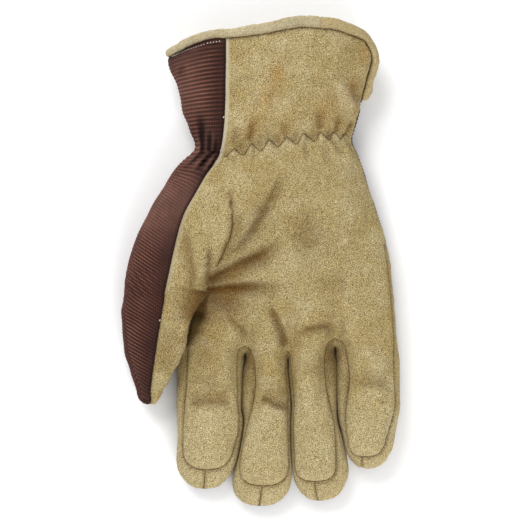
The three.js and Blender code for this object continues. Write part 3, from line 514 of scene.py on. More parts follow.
def front_height(section: float, x: Array, across: Array) -> Array:
    """Height of the palm's front across one section, where across runs from -1 to 1.

    Args:
        section: Place of the section.
        x: Places across the hand.
        across: The same as shares from -1 to 1.

    Returns:
        Heights in mm.
    """
    heights = HEIGHTS(section)
    palm = PALM_SIDE(section)
    rim = mix(heights.left_front, heights.right_front, (across + 1) / 2)
    z = rim + (heights.top - rim) * crown(across, 2.3) ** 0.7
    for column, start, end, depth, width in VALLEYS:
        away = (x - getattr(palm, column)) / width
        growth = smoothstep(start, end, section) * (1 - smoothstep(end + 1.2, end + 2.2, section))
        z -= depth * growth * np.exp(-2 * away * away)
    return z


def back_height(section: float, across: Array) -> Array:
    """Height of the back: flat in the middle, and turned up to its rims and its hem.

    Args:
        section: Place of the section.
        across: Places across as shares from -1 to 1.

    Returns:
        Heights in mm.
    """
    heights = HEIGHTS(section)
    rim = np.where(across < 0, heights.left_back, heights.right_back)
    lift = HEM_LIFT * (1 - smoothstep(0, 2, section))
    return lift + rim * smoothstep(0.68, 1, np.abs(across)) ** 1.4


def end_rounding(distance: float, length: float) -> float:
    """Half width left at a distance from a rounded end, as a share of the full half width."""
    t = np.clip(1 - distance / length, 0, 1) * END_REACH
    return (1 - t**END_FULLNESS) ** (1 / END_FULLNESS)


def pad_row(
    left: float, right: float, y: float, t: float, end: float, length: float, columns: Array
) -> tuple[Array, Array, Array]:
    """Places of one row of a pad that rounds off at its end.

    Args:
        left: Left edge before rounding.
        right: Right edge before rounding.
        y: Place of the row.
        t: Share of the pad's length at this row.
        end: Place of the pad's end.
        length: Length over which it rounds off.
        columns: Columns from -1 to 1.

    Returns:
        x and y of each column, and how near each is to the rim, from 0 to 1.
    """
    half = (right - left) / 2 * end_rounding(y - end, length)
    bow = length * (1 - END_REACH) * t**6
    endward = smoothstep(0.1, 1, 1 - (y - end) / length)
    rim = np.sqrt(1 - (1 - columns**2) * (1 - endward**2))
    return (left + right) / 2 + half * columns, y - bow * (1 - columns**2), np.minimum(rim, 1)


def summed(ids: Array, vectors: Array, count: int) -> Array:
    """Sum of the vectors that belong to each id."""
    return np.column_stack([np.bincount(ids, weights=vectors[:, axis], minlength=count) for axis in range(3)])


def unit(vectors: Array) -> Array:
    """Vectors brought to length one."""
    return vectors / np.maximum(np.linalg.norm(vectors, axis=-1, keepdims=True), 1e-9)


def smoothed(rows: Array, reach: int, **ends: str) -> Array:
    """Rows of numbers along a line, each evened out with its neighbours.

    Args:
        rows: One row for each place of the line.
        reach: Number of neighbours on each side.
        ends: How the line is carried on past its ends, as np.pad takes it.

    Returns:
        As many rows, smoothed.
    """
    padded = np.pad(rows, ((reach, reach), (0, 0)), **ends)
    kernel = np.hanning(2 * reach + 3)[1:-1]
    kernel /= kernel.sum()
    return np.column_stack([np.convolve(column, kernel, mode="valid") for column in padded.T])


def ring_faces(rings: int, sides: int, flipped: bool = False) -> list[list[int]]:
    """Faces of a strand of rings with a cap at each end.

    Args:
        rings: Number of rings.
        sides: Number of points on each ring.
        flipped: Whether the faces turn the other way round.

    Returns:
        The faces, with the points numbered ring by ring.
    """
    faces = [
        [p * sides + i, p * sides + (i + 1) % sides, (p + 1) * sides + (i + 1) % sides, (p + 1) * sides + i]
        for p in range(rings - 1)
        for i in range(sides)
    ]
    caps = [list(range(sides))[::-1], [(rings - 1) * sides + i for i in range(sides)]]
    if flipped:
        faces = [[face[0], *face[:0:-1]] for face in faces]
        caps = [cap[::-1] for cap in caps]
    return faces + caps


def point_tree(points: Array) -> KDTree:
    """Tree that finds the nearest of some points.

    Args:
        points: The points.

    Returns:
        The balanced tree.
    """
    tree = KDTree(len(points))
    for i, place in enumerate(points):
        tree.insert(Vector(place), i)
    tree.balance()
    return tree


def distance_to(line: Array, points: Array) -> Array:
    """Distance from each point to the nearest point of a line."""
    tree = point_tree(line)
    return np.array([tree.find(Vector(point))[2] for point in points])


class Skin:
    """The glove's whole outer skin as one net of quads that share their vertices."""

    MOST_VERTICES = 400_000
    DOME_POWER = 0.6
    SETTLE = 0.35
    BLEND = 0.15
    WEB_REACH = 0.12
    WEB_SAG = 3.4
    WEB_ROUND = 0.055
    BAND_SMOOTH = 4
    RELIEF_REACH = 3.5

    def __init__(self, density: Density) -> None:
        """Build the net at one density.

        Args:
            density: How finely the skin is cut.
        """
        self.density = density
        self.thumb_columns = density.fabric_front + density.thumb_front
        self.at = np.zeros((self.MOST_VERTICES, 3))
        self.girth = np.zeros(self.MOST_VERTICES)
        self.inside = np.zeros(self.MOST_VERTICES)
        self.count = 0
        self.quad_parts: list[Array] = []
        self.code_parts: list[Array] = []
        self.upper: list[Row] = []
        self.upper_left = np.zeros((0, 0), dtype=int)
        self.vent_row = 0
        self._build_hand_and_tubes()
        self.at = self.at[: self.count]
        self.girth = self.girth[: self.count]
        self.quads = np.concatenate(self.quad_parts)
        self.codes = np.concatenate(self.code_parts)
        # The creases' painted shade and painted highlight, which the pieces' colours take up
        rise, shade, self.pale = palm_relief(self.at[:, 0], self.at[:, 1])
        inside = self.inside[: self.count]
        self.at[:, 2] += inside * rise
        self.shade = shade * np.minimum(inside * 8, 1)
        self.normals = self._read_normals()

    def _add(self, points: Array, girth: Array, inside: Array | float = 0.0) -> Array:
        """Add vertices and return their ids.

        Args:
            points: Their places.
            girth: Their places round the girth.
            inside: How much of the creases' rise they take.

        Returns:
            The new ids.
        """
        ids = np.arange(self.count, self.count + len(points))
        self.at[ids] = points
        self.girth[ids] = girth
        self.inside[ids] = inside
        self.count += len(points)
        return ids

    def _patch(self, rows: Array, codes: Array | int, flipped: bool = False) -> None:
        """Add the quads between neighbouring rows, each with the code of its node.

        Args:
            rows: Vertex ids, row by row.
            codes: Code of the node, or one for each quad.
            flipped: Whether the quads turn the other way round.
        """
        corners = np.stack([rows[:-1, :-1], rows[1:, :-1], rows[1:, 1:], rows[:-1, 1:]], axis=-1)
        if flipped:
            corners = corners[..., ::-1]
        codes = np.broadcast_to(codes, corners.shape[:2])
        kept = codes != NO_CODE
        self.quad_parts.append(corners[kept])
        self.code_parts.append(codes[kept])

    def _side(self, front: int, back: int, out: tuple[float, float]) -> Array:
        """Side from a front vertex to a back vertex, bulging out by a vector in plan.

        Args:
            front: The front vertex.
            back: The back vertex.
            out: How far the middle lies out, in x and y.

        Returns:
            Ids from front to back.
        """
        t = np.arange(1, self.density.side_steps) / self.density.side_steps
        swell = np.sin(np.pi * t) ** 0.8
        points = mix(self.at[front], self.at[back], t[:, None])
        points[:, 0] += out[0] * swell
        points[:, 1] += out[1] * swell
        ids = self._add(points, mix(self.girth[front], self.girth[back], t))
        return np.concatenate([[front], ids, [back]])

    def _sections(self, start: int, end: int) -> Array:
        """Sections from start to end, as close together as the row pitch asks.

        Args:
            start: First section.
            end: Last section.

        Returns:
            The places of the rows.
        """
        parts = [[start]]
        for section in range(start, end):
            reach = abs(PALM_SIDE(section + 1).middle_y - PALM_SIDE(section).middle_y)
            count = math.ceil(reach / self.density.row_pitch)
            parts.append(section + np.arange(1, count + 1) / count)
        return np.concatenate(parts)

    def _places(self, section: float) -> tuple[Array, Array]:
        """x and y of the front's columns on one section, smoothly through its key columns.

        Args:
            section: Place of the row among the sections.

        Returns:
            The columns' x and y.
        """
        palm = PALM_SIDE(section)
        blend = smoothstep(THUMB_CROTCH_SECTION, FINGER_CROTCH_SECTION, section)
        near_hem = 1 - smoothstep(0, VENT_SECTION, section)

        def y_at(x: float) -> float:
            """Place along the hand of a key column between the measured ones.

            Args:
                x: Place across the hand.

            Returns:
                The place along the hand.
            """
            if x < palm.middle_x:
                return mix(palm.thumb_y, palm.middle_y, (x - palm.thumb_x) / (palm.middle_x - palm.thumb_x))
            return mix(palm.middle_y, palm.right_y, (x - palm.middle_x) / (palm.right_x - palm.middle_x))

        keys = [
            (palm.thumb_x, palm.thumb_y),
            (palm.index_x, y_at(palm.index_x) + CROTCH_RISE["index"] * blend),
            (palm.middle_x, palm.middle_y),
            (palm.ring_x, y_at(palm.ring_x) + CROTCH_RISE["ring"] * blend + RING_HEM_ARCH * near_hem),
            (palm.right_x - HEIGHTS(section).right_inset, palm.right_y),
        ]
        steps = [self.density.finger_front] * 4
        if section <= THUMB_CROTCH_SECTION:
            thumb = THUMB_SIDE(section)
            keys = [(thumb.outline_x + LEFT_INSET, thumb.outline_y), (thumb.seam_x, thumb.seam_y)] + keys
            steps = [self.density.fabric_front, self.density.thumb_front] + steps
        at = np.concatenate([k + np.arange(count) / count for k, count in enumerate(steps)] + [[len(steps)]])
        read = Table("x y", keys)(at)
        if section <= THUMB_CROTCH_SECTION:
            t = np.clip(at, 0, 1)
            read.y = read.y + FABRIC_HEM_ARCH * near_hem * 4 * t * (1 - t)
        return read.x, read.y

    def _hand_row(self, section: float, left_out: float | None = None) -> Row:
        """Front and back rows of the hand at one section.

        Args:
            section: Place of the row among the sections.
            left_out: How far the back's left edge moves in below the thumb, or None.

        Returns:
            The row's vertices.
        """
        x, y = self._places(section)
        left, right = x[0], x[-1]
        if section > THUMB_CROTCH_SECTION:
            thumb_left = THUMB_SIDE(THUMB_CROTCH_SECTION).outline_x + LEFT_INSET
            left = mix(thumb_left, left, smoothstep(0, 1, section - THUMB_CROTCH_SECTION))
        across = (x - left) / (right - left) * 2 - 1
        inside = np.clip(self.RELIEF_REACH * (1 - across**4), 0, 1)
        front = self._add(np.column_stack([x, y, front_height(section, x, across)]), x, inside)
        back_x = x.copy()
        if left_out is not None:
            reach = x[self.density.finger_front // 4] - x[0]
            back_x += left_out * np.clip(1 - (x - x[0]) / reach, 0, 1)
        back_x += np.interp(section, *BACK_RIGHT_SHIFT) * np.clip((across - 0.6) / 0.4, 0, 1)
        back_y = y - BACK_SHORTER * (1 - smoothstep(0, 4, section))
        back_at = np.column_stack([back_x, back_y, back_height(section, across)])
        return Row(front, self._add(back_at, 2 * left - x - SIDE_GIRTH))

    def _settled(
        self, start: Array, own: tuple[Array, Array, Array], root: float, t: float,
        across: float, up: float,
    ) -> Array:
        """A row of a tube that leaves its start row smoothly.

        Args:
            start: Points of the start row.
            own: The row's own x, y and z, once settled.
            root: Place of the tube's root along the hand.
            t: Share of the tube's length at this row.
            across: Share of its own places across.
            up: Share of its own heights.

        Returns:
            The row's points.
        """
        x, y, z = own
        y = y + (start[:, 1] - root) * (1 - smoothstep(0, self.SETTLE, t))
        return np.column_stack([mix(start[:, 0], x, across), y, mix(start[:, 2], z, up)])

    def _finger_row(self, finger: FingerShape, start: Row, t: float) -> Row:
        """Front and back row of a finger at a share of its length.

        Args:
            finger: The finger's shape.
            start: Its first row.
            t: Share of its length.

        Returns:
            The new row.
        """
        heights = FINGER_HEIGHTS(t)
        eased = mix(t, 1 - (1 - t) ** 1.6, 0.6)
        start_front, start_back = self.at[start.front], self.at[start.back]
        root = start_front[self.density.finger_front // 2, 1]
        y = mix(root, finger.pad_end, eased)
        back_y = mix(root, finger.back_end, eased)
        at, back_at = finger.rows(y), finger.rows(back_y)
        columns = np.linspace(-1, 1, self.density.finger_front + 1)
        x, row_y, rim = pad_row(at.left, at.right, y, t, finger.pad_end, finger.pad_round, columns)
        z = heights.seam + heights.dome * crown(rim, 2) ** self.DOME_POWER
        settled = smoothstep(0, self.SETTLE, t)
        arch = math.sqrt(1 - (1 - min(t / self.WEB_ROUND, 1)) ** 2)
        own = self._settled(start_front, (x, row_y, z), root, t, arch, settled)
        inside = mix(self.inside[start.front], crown(columns, 4) * crown(rim, 4), settled)
        front = self._add(own, own[:, 0], inside)
        left, right = back_at.outer_left + BACK_SEAM_INSET, back_at.outer_right - BACK_SEAM_INSET
        x, row_y, rim = pad_row(left, right, back_y, t, finger.back_end, finger.back_round, columns)
        z = heights.lift + (heights.back_seam - heights.lift * 0.3) * smoothstep(0.5, 1, rim) ** 1.3
        back_blend = smoothstep(0, self.BLEND, t)
        own = self._settled(start_back, (x, row_y, z), root, t, back_blend, back_blend)
        back = self._add(own, own[:, 0])
        web = smoothstep(0, self.WEB_REACH, t)
        bulges = []
        for side, sign, pad, outer, edge, start_bulge in (
            (0, -1, at.left, at.outer_left, left, start.left_bulge),
            (-1, 1, at.right, at.outer_right, right, start.right_bulge),
        ):
            rest = (start_front[side, 0] + start_back[side, 0]) / 2 + sign * start_bulge
            wanted = mix(rest, outer + sign * GAP_CLOSE, web)
            middle = (mix(start_front[side, 0], pad, arch) + mix(start_back[side, 0], edge, back_blend)) / 2
            bulges.append(sign * (wanted - middle))
        return Row(front, back, *bulges, start.left_sag * (1 - web), start.right_sag * (1 - web))

    def _thumb_row(self, start: Row, t: float) -> Row:
        """Front and back row of the thumb at a share of its length.

        Args:
            start: The thumb's first row.
            t: Share of its length.

        Returns:
            The new row.
        """
        shape = THUMB_SHAPE
        start_front, start_back = self.at[start.front], self.at[start.back]
        root = start_front[self.density.fabric_front + self.density.thumb_front // 4, 1]
        y = mix(root, shape.pad_end, t)
        back_y = mix(root, shape.back_end, t)
        at = shape.rows(y)
        left, right = at.left + LEFT_INSET, at.right - THUMB_EDGE_INSET
        seam_share = (at.seam - left) / (right - left)
        fabric = np.linspace(0, seam_share, self.density.fabric_front + 1)
        leather = np.linspace(seam_share, 1, self.density.thumb_front + 1)[1:]
        columns = np.concatenate([fabric, leather]) * 2 - 1
        blend = smoothstep(0, self.BLEND, t)
        x, row_y, rim = pad_row(left, right, y, t, shape.pad_end, shape.pad_round, columns)
        z = mix(at.left_front, at.right_front, (columns + 1) / 2) + at.dome * crown(rim, 2) ** self.DOME_POWER
        own = self._settled(start_front, (x, row_y, z), root, t, blend, blend)
        inside = mix(self.inside[start.front], crown(columns, 4), smoothstep(0, self.SETTLE, t))
        front = self._add(own, own[:, 0], inside)
        right = at.right - at.undercut
        x, row_y, rim = pad_row(left, right, back_y, t, shape.back_end, shape.back_round, columns)
        z = mix(at.left_back, at.right_back, (columns + 1) / 2) * smoothstep(0.35, 1, rim) ** 1.2
        own = self._settled(start_back, (x, row_y, z), root, t, blend, blend)
        back = self._add(own, 2 * left - own[:, 0] - SIDE_GIRTH)
        web = smoothstep(0, self.WEB_REACH, t)
        right_bulge = mix(start.right_bulge, THUMB_EDGE_INSET + at.undercut * 0.1, web)
        return Row(front, back, LEFT_INSET, right_bulge)

    def _tube(
        self,
        rows: list[Row],
        sides: tuple[Array, Array],
        codes: tuple[Array | int, int],
        band_codes: tuple[int, int, float],
    ) -> None:
        """Front, back and surrounding band of a finger or of the thumb.

        Args:
            rows: Rows from the root to the end.
            sides: Side rows at the root, left and right.
            codes: Codes of the front's columns and of the back.
            band_codes: Codes of the band's first and last part, and the step where they meet.
        """
        fronts, backs = nets(rows)
        path_front = np.concatenate([fronts[:, 0], fronts[-1, 1:-1], fronts[::-1, -1]])
        path_back = np.concatenate([backs[:, 0], backs[-1, 1:-1], backs[::-1, -1]])
        nose = np.full(fronts.shape[1] - 2, FINGER_NOSE)
        bulges = np.concatenate([[r.left_bulge for r in rows], nose, [r.right_bulge for r in rows[::-1]]])
        sags = np.concatenate([[r.left_sag for r in rows], 0 * nose, [r.right_sag for r in rows[::-1]]])
        middle = (self.at[path_front] + self.at[path_back])[:, :2] / 2
        along = unit(np.gradient(middle, axis=0))
        out = np.column_stack([along[:, 1], -along[:, 0]]) * bulges[:, None]
        out[:, 1] -= sags
        out = smoothed(out, self.BAND_SMOOTH, mode="edge")
        band = [sides[0]]
        for front, back, way in zip(path_front[1:-1], path_back[1:-1], out[1:-1]):
            band.append(self._side(front, back, way))
        band.append(sides[1])
        self._patch(fronts, codes[0])
        self._patch(backs, codes[1], True)
        first, second, meeting = band_codes
        steps = np.arange(len(band) - 1)[:, None]
        self._patch(np.array(band), np.where(steps < meeting, first, second), True)

    def _build_hand_and_tubes(self) -> None:
        """Hand from the hem to the finger crotches, then the fingers and the thumb."""
        upper_right = self._build_upper()
        front, back = (ids[self.thumb_columns] for ids in (self.upper[-1].front, self.upper[-1].back))
        thumb_web = self._side(front, back, (0, CROTCH_DEPTH))
        last, left, right = self._build_lower(thumb_web, upper_right)
        self._build_fingers(last, left, right)
        self._build_thumb(thumb_web)

    def _build_upper(self) -> Array:
        """Hand from the hem to the thumb crotch.

        Returns:
            Its last side row on the right.
        """
        sections = self._sections(0, THUMB_CROTCH_SECTION)
        self.upper = [self._hand_row(section) for section in sections]
        inset = (-LEFT_INSET, 0)
        self.upper_left = np.array([self._side(row.front[0], row.back[0], inset) for row in self.upper])
        moved_in = np.maximum(-np.interp(sections, *BACK_RIGHT_SHIFT), 0)
        drawn_in = np.where(sections > VENT_SECTION, moved_in, 0) / 2
        upper_right = np.array([
            self._side(row.front[-1], row.back[-1], (HEIGHTS(section).right_inset + extra, 0))
            for row, section, extra in zip(self.upper, sections, drawn_in)
        ])
        fronts, backs = nets(self.upper)
        self._patch(fronts, self._front_codes(fronts.shape[1] - 1))
        self._patch(backs, BACK_CODE, True)
        self._patch(self.upper_left, BACK_CODE, True)
        self.vent_row = int(np.argmin(np.abs(sections - VENT_SECTION)))
        strip_row = int(np.argmin(np.abs(sections - STRIP_SECTION)))
        row_index = np.arange(len(sections) - 1)[:, None]
        step_index = np.arange(self.density.side_steps)[None, :]
        codes = np.where(step_index < self.density.side_steps // 3, PALM_CODE, BACK_CODE)
        codes = np.where(row_index >= strip_row, STRIP_CODES[-1], codes)
        self._patch(upper_right, np.where(row_index < self.vent_row, NO_CODE, codes))
        return upper_right[-1]

    def _front_codes(self, count: int) -> Array:
        """Codes of a front's columns, the first of them in fabric."""
        return np.where(np.arange(count)[None, :] < self.density.fabric_front, BACK_CODE, PALM_CODE)

    def _build_lower(self, thumb_web: Array, right: Array) -> tuple[Row, Array, Array]:
        """Hand from the thumb crotch to the finger crotches.

        Args:
            thumb_web: Side row in the thumb crotch.
            right: Side row on the right at the same place.

        Returns:
            Its last row and last side rows, left and right.
        """
        crotch = self.upper[-1]
        rows = [Row(crotch.front[self.thumb_columns :], crotch.back[self.thumb_columns :])]
        lefts = [thumb_web]
        rights = [right]
        for section in self._sections(THUMB_CROTCH_SECTION, FINGER_CROTCH_SECTION)[1:]:
            away = smoothstep(0, 0.5, section - THUMB_CROTCH_SECTION)
            out = PALM_LEFT_BULGE(section - THUMB_CROTCH_SECTION).out
            row = self._hand_row(section, (BACK_SEAM_INSET - out) * away)
            rows.append(row)
            bulge = (-(out + BACK_SEAM_INSET) / 2 * away, CROTCH_DEPTH * (1 - away))
            lefts.append(self._side(row.front[0], row.back[0], bulge))
            rights.append(self._side(row.front[-1], row.back[-1], (HEIGHTS(section).right_inset, 0)))
        fronts, backs = nets(rows)
        self._patch(fronts, PALM_CODE)
        self._patch(backs, BACK_CODE, True)
        self._patch(np.array(lefts), STRIP_CODES[0], True)
        self._patch(np.array(rights), STRIP_CODES[-1])
        return rows[-1], lefts[-1], rights[-1]

    def _build_fingers(self, last: Row, left: Array, right: Array) -> None:
        """The four fingers, with the webs between them.

        Args:
            last: Last row of the hand.
            left: Its side row on the left.
            right: Its side row on the right.
        """
        step = self.density.finger_front
        between = range(step, len(FINGERS) * step, step)
        webs = [left, *[self._side(last.front[k], last.back[k], (0, -self.WEB_SAG)) for k in between], right]
        bulges = [(PALM_LEFT_BULGE(2).out + BACK_SEAM_INSET) / 2, 0, 0, 0, LITTLE_ROOT_BULGE]
        sags = [0, self.WEB_SAG, self.WEB_SAG, self.WEB_SAG, 0]
        for f, finger in enumerate(FINGERS):
            columns = slice(f * step, (f + 1) * step + 1)
            start = Row(last.front[columns], last.back[columns], *bulges[f : f + 2], *sags[f : f + 2])
            length = PALM_SIDE(FINGER_CROTCH_SECTION).thumb_y - finger.pad_end
            count = math.ceil(length / self.density.row_pitch)
            rows = [start] + [self._finger_row(finger, start, k / count) for k in range(1, count + 1)]
            meeting = len(rows) + (step - 1) / 2 - 0.5 + finger.tip_seam
            band_codes = STRIP_CODES[f], STRIP_CODES[f + 1], meeting
            self._tube(rows, (webs[f], webs[f + 1]), (PALM_CODE, BACK_CODE), band_codes)

    def _build_thumb(self, web: Array) -> None:
        """The thumb.

        Args:
            web: Side row in the thumb crotch.
        """
        crotch = self.upper[-1]
        columns = slice(self.thumb_columns + 1)
        start = Row(crotch.front[columns], crotch.back[columns], LEFT_INSET, -CROTCH_DEPTH)
        length = PALM_SIDE(THUMB_CROTCH_SECTION).thumb_y - THUMB_SHAPE.pad_end
        count = math.ceil(length / self.density.row_pitch)
        rows = [start] + [self._thumb_row(start, k / count) for k in range(1, count + 1)]
        codes = self._front_codes(self.thumb_columns), BACK_CODE
        band_codes = BACK_CODE, PALM_CODE, count + self.density.fabric_front
        self._tube(rows, (self.upper_left[-1], web), codes, band_codes)

    def _read_normals(self) -> Array:
        """Outward normals, shared by neighbouring pieces along a seam.

        Returns:
            One unit vector for each vertex.
        """
        a, b, c, d = (self.at[self.quads[:, k]] for k in range(4))
        facing = np.cross(c - a, d - b)
        return unit(sum(summed(self.quads[:, k], facing, self.count) for k in range(4)))

    def seams(self) -> list[Array]:
        """Lines of vertex ids where two different pieces meet.

        Returns:
            The lines.
        """
        starts = self.quads.reshape(-1)
        ends = np.roll(self.quads, -1, axis=1).reshape(-1)
        codes = np.repeat(self.codes, 4)
        low, high = np.minimum(starts, ends), np.maximum(starts, ends)
        order = np.lexsort((codes, high, low))
        low, high, codes = low[order], high[order], codes[order]
        same = (low[1:] == low[:-1]) & (high[1:] == high[:-1]) & (codes[1:] != codes[:-1])
        links: dict[int, list[tuple[int, tuple[int, int]]]] = {}
        for i in np.flatnonzero(same):
            pair = (int(codes[i]), int(codes[i + 1]))
            a, b = int(low[i]), int(high[i])
            links.setdefault(a, []).append((b, pair))
            links.setdefault(b, []).append((a, pair))
        return self._chains(links)

    @staticmethod
    def _chains(links: dict[int, list[tuple[int, tuple[int, int]]]]) -> list[Array]:
        """Open lines between the places where seams begin, end or branch.

        Args:
            links: Neighbours of each vertex along the seams, with the pieces on both sides.

        Returns:
            The lines of vertex ids.
        """
        used: set[tuple[int, int]] = set()
        lines = []
        starts = [a for a, near in links.items() if len(near) != 2] + list(links)
        for start in starts:
            for following, _pair in links[start]:
                if (start, following) in used:
                    continue
                line = [start]
                a, b = start, following
                while (a, b) not in used:
                    used.update({(a, b), (b, a)})
                    line.append(b)
                    onward = [c for c, _pair in links[b] if c != a]
                    if len(links[b]) != 2 or not onward:
                        break
                    a, b = b, onward[0]
                lines.append(np.array(line))
        return lines


def ripple(points: Array, size: float, seed: int, count: int = 28) -> Array:
    """Smooth irregular waves over points, about one unit high.

    Args:
        points: Places in mm.
        size: Usual length of one wave in mm.
        seed: Seed of the waves' directions.
        count: How many plane waves are added up.

    Returns:
        One value for each point.
    """
    random = np.random.default_rng(seed)
    ways = unit(random.normal(size=(count, 3)))
    sizes = size * random.uniform(0.65, 1.6, count)
    phases = random.uniform(0, 2 * np.pi, count)
    waves = np.sin(points @ (ways * (2 * np.pi / sizes)[:, None]).T + phases)
    return waves.sum(axis=1) / math.sqrt(count / 2)


@dataclass
class Shell:
    """Outer and inner wall of one piece of the skin, before and after it is dressed."""

    skin: Skin
    code: int
    wall: float
    ids: Array = field(init=False)
    faces: Array = field(init=False)
    outer: Array = field(init=False)
    inner: Array = field(init=False)
    normals: Array = field(init=False)
    edge_away: Array = field(init=False)
    border: Array = field(init=False)
    values: dict[str, Array] = field(default_factory=dict)

    def __post_init__(self) -> None:
        """Cut the piece out of the skin at its seams and give it its wall."""
        skin = self.skin
        own = skin.quads[skin.codes == self.code]
        self.ids, local = np.unique(own, return_inverse=True)
        quads = local.reshape(-1, 4)
        count = len(self.ids)
        starts = quads.reshape(-1)
        ends = np.roll(quads, -1, axis=1).reshape(-1)
        is_border = ~np.isin(starts * count + ends, ends * count + starts)
        starts, ends = starts[is_border], ends[is_border]
        self.border = np.column_stack([starts, ends])
        at = skin.at[self.ids]
        self.normals = skin.normals[self.ids]
        along = unit(at[ends] - at[starts])
        ways = np.vstack([unit(np.cross(self.normals[end], along)) for end in (starts, ends)])
        ids = np.concatenate([starts, ends])
        total = summed(ids, ways, count)
        number = np.maximum(np.bincount(ids, minlength=count), 1)
        size = np.linalg.norm(total, axis=1)
        share = np.maximum(size / number, 0.5)
        moves = total / np.maximum(size * share, 1e-9)[:, None]
        self.outer = at + moves * (SEAM_GAP / 2)
        self.outer[:, 2] = np.maximum(self.outer[:, 2], 0)
        self.inner = self.outer - self.normals * self.wall
        walls = np.column_stack([starts, starts + count, ends + count, ends])
        self.faces = np.vstack([quads, quads[:, ::-1] + count, walls])
        self.edge_away = distance_to(at[np.unique(self.border)], at)

    def push(self, distance: Array, inner_share: float = 0.0) -> None:
        """Move the outer wall along its normals, and the inner wall by a share of that.

        Args:
            distance: How far out, in mm.
            inner_share: Share of it for the inner wall.
        """
        self.outer += self.normals * distance[:, None]
        self.inner += self.normals * (distance * inner_share)[:, None]
        self.outer[:, 2] = np.maximum(self.outer[:, 2], 0)

    def build(self, name: str, material: Material) -> Piece:
        """Make the piece's object, with its values as attributes of its vertices.

        Args:
            name: Name of the object.
            material: Material of the piece.

        Returns:
            The object, in metres.
        """
        values = {key: np.tile(value, 2) for key, value in self.values.items()}
        return mesh_object(name, np.vstack([self.outer, self.inner]), self.faces, material, values)


def mesh_object(
    name: str,
    points: Array,
    faces: Sequence[Sequence[int]],
    material: Material,
    values: dict[str, Array] | None = None,
) -> Piece:
    """Make a smooth mesh object from points in mm in the source's frame.

    Args:
        name: Name of the object.
        points: Vertices in mm.
        faces: Vertex numbers of each face.
        material: Its material.
        values: Attributes of the vertices that the material reads, by name.

    Returns:
        The object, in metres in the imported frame.
    """
    mesh = bpy.data.meshes.new(name)
    places = (points + FRAME_SHIFT) * MM
    mesh.from_pydata(places.tolist(), [], [list(map(int, face)) for face in faces])
    mesh.polygons.foreach_set("use_smooth", np.ones(len(mesh.polygons), dtype=bool))
    mesh.set_sharp_from_angle(angle=math.radians(62))
    mesh.materials.append(material)
    for key, value in (values or {}).items():
        mesh.attributes.new(key, "FLOAT", "POINT").data.foreach_set("value", value.astype(np.float32))
    mesh.update()
    piece = bpy.data.objects.new(name, mesh)
    bpy.context.scene.collection.objects.link(piece)
    return piece


def linear(colour: str) -> Colour:
    """Linear colour of an sRGB hex value such as #c2b283.

    Args:
        colour: The hex value.

    Returns:
        The linear colour.
    """
    channels = [int(colour[i : i + 2], 16) / 255 for i in (1, 3, 5)]
    turned = [c / 12.92 if c <= 0.04045 else ((c + 0.055) / 1.055) ** 2.4 for c in channels]
    return (*turned, 1.0)


def grey(value: float) -> Colour:
    """A grey colour of one value."""
    return (value, value, value, 1.0)


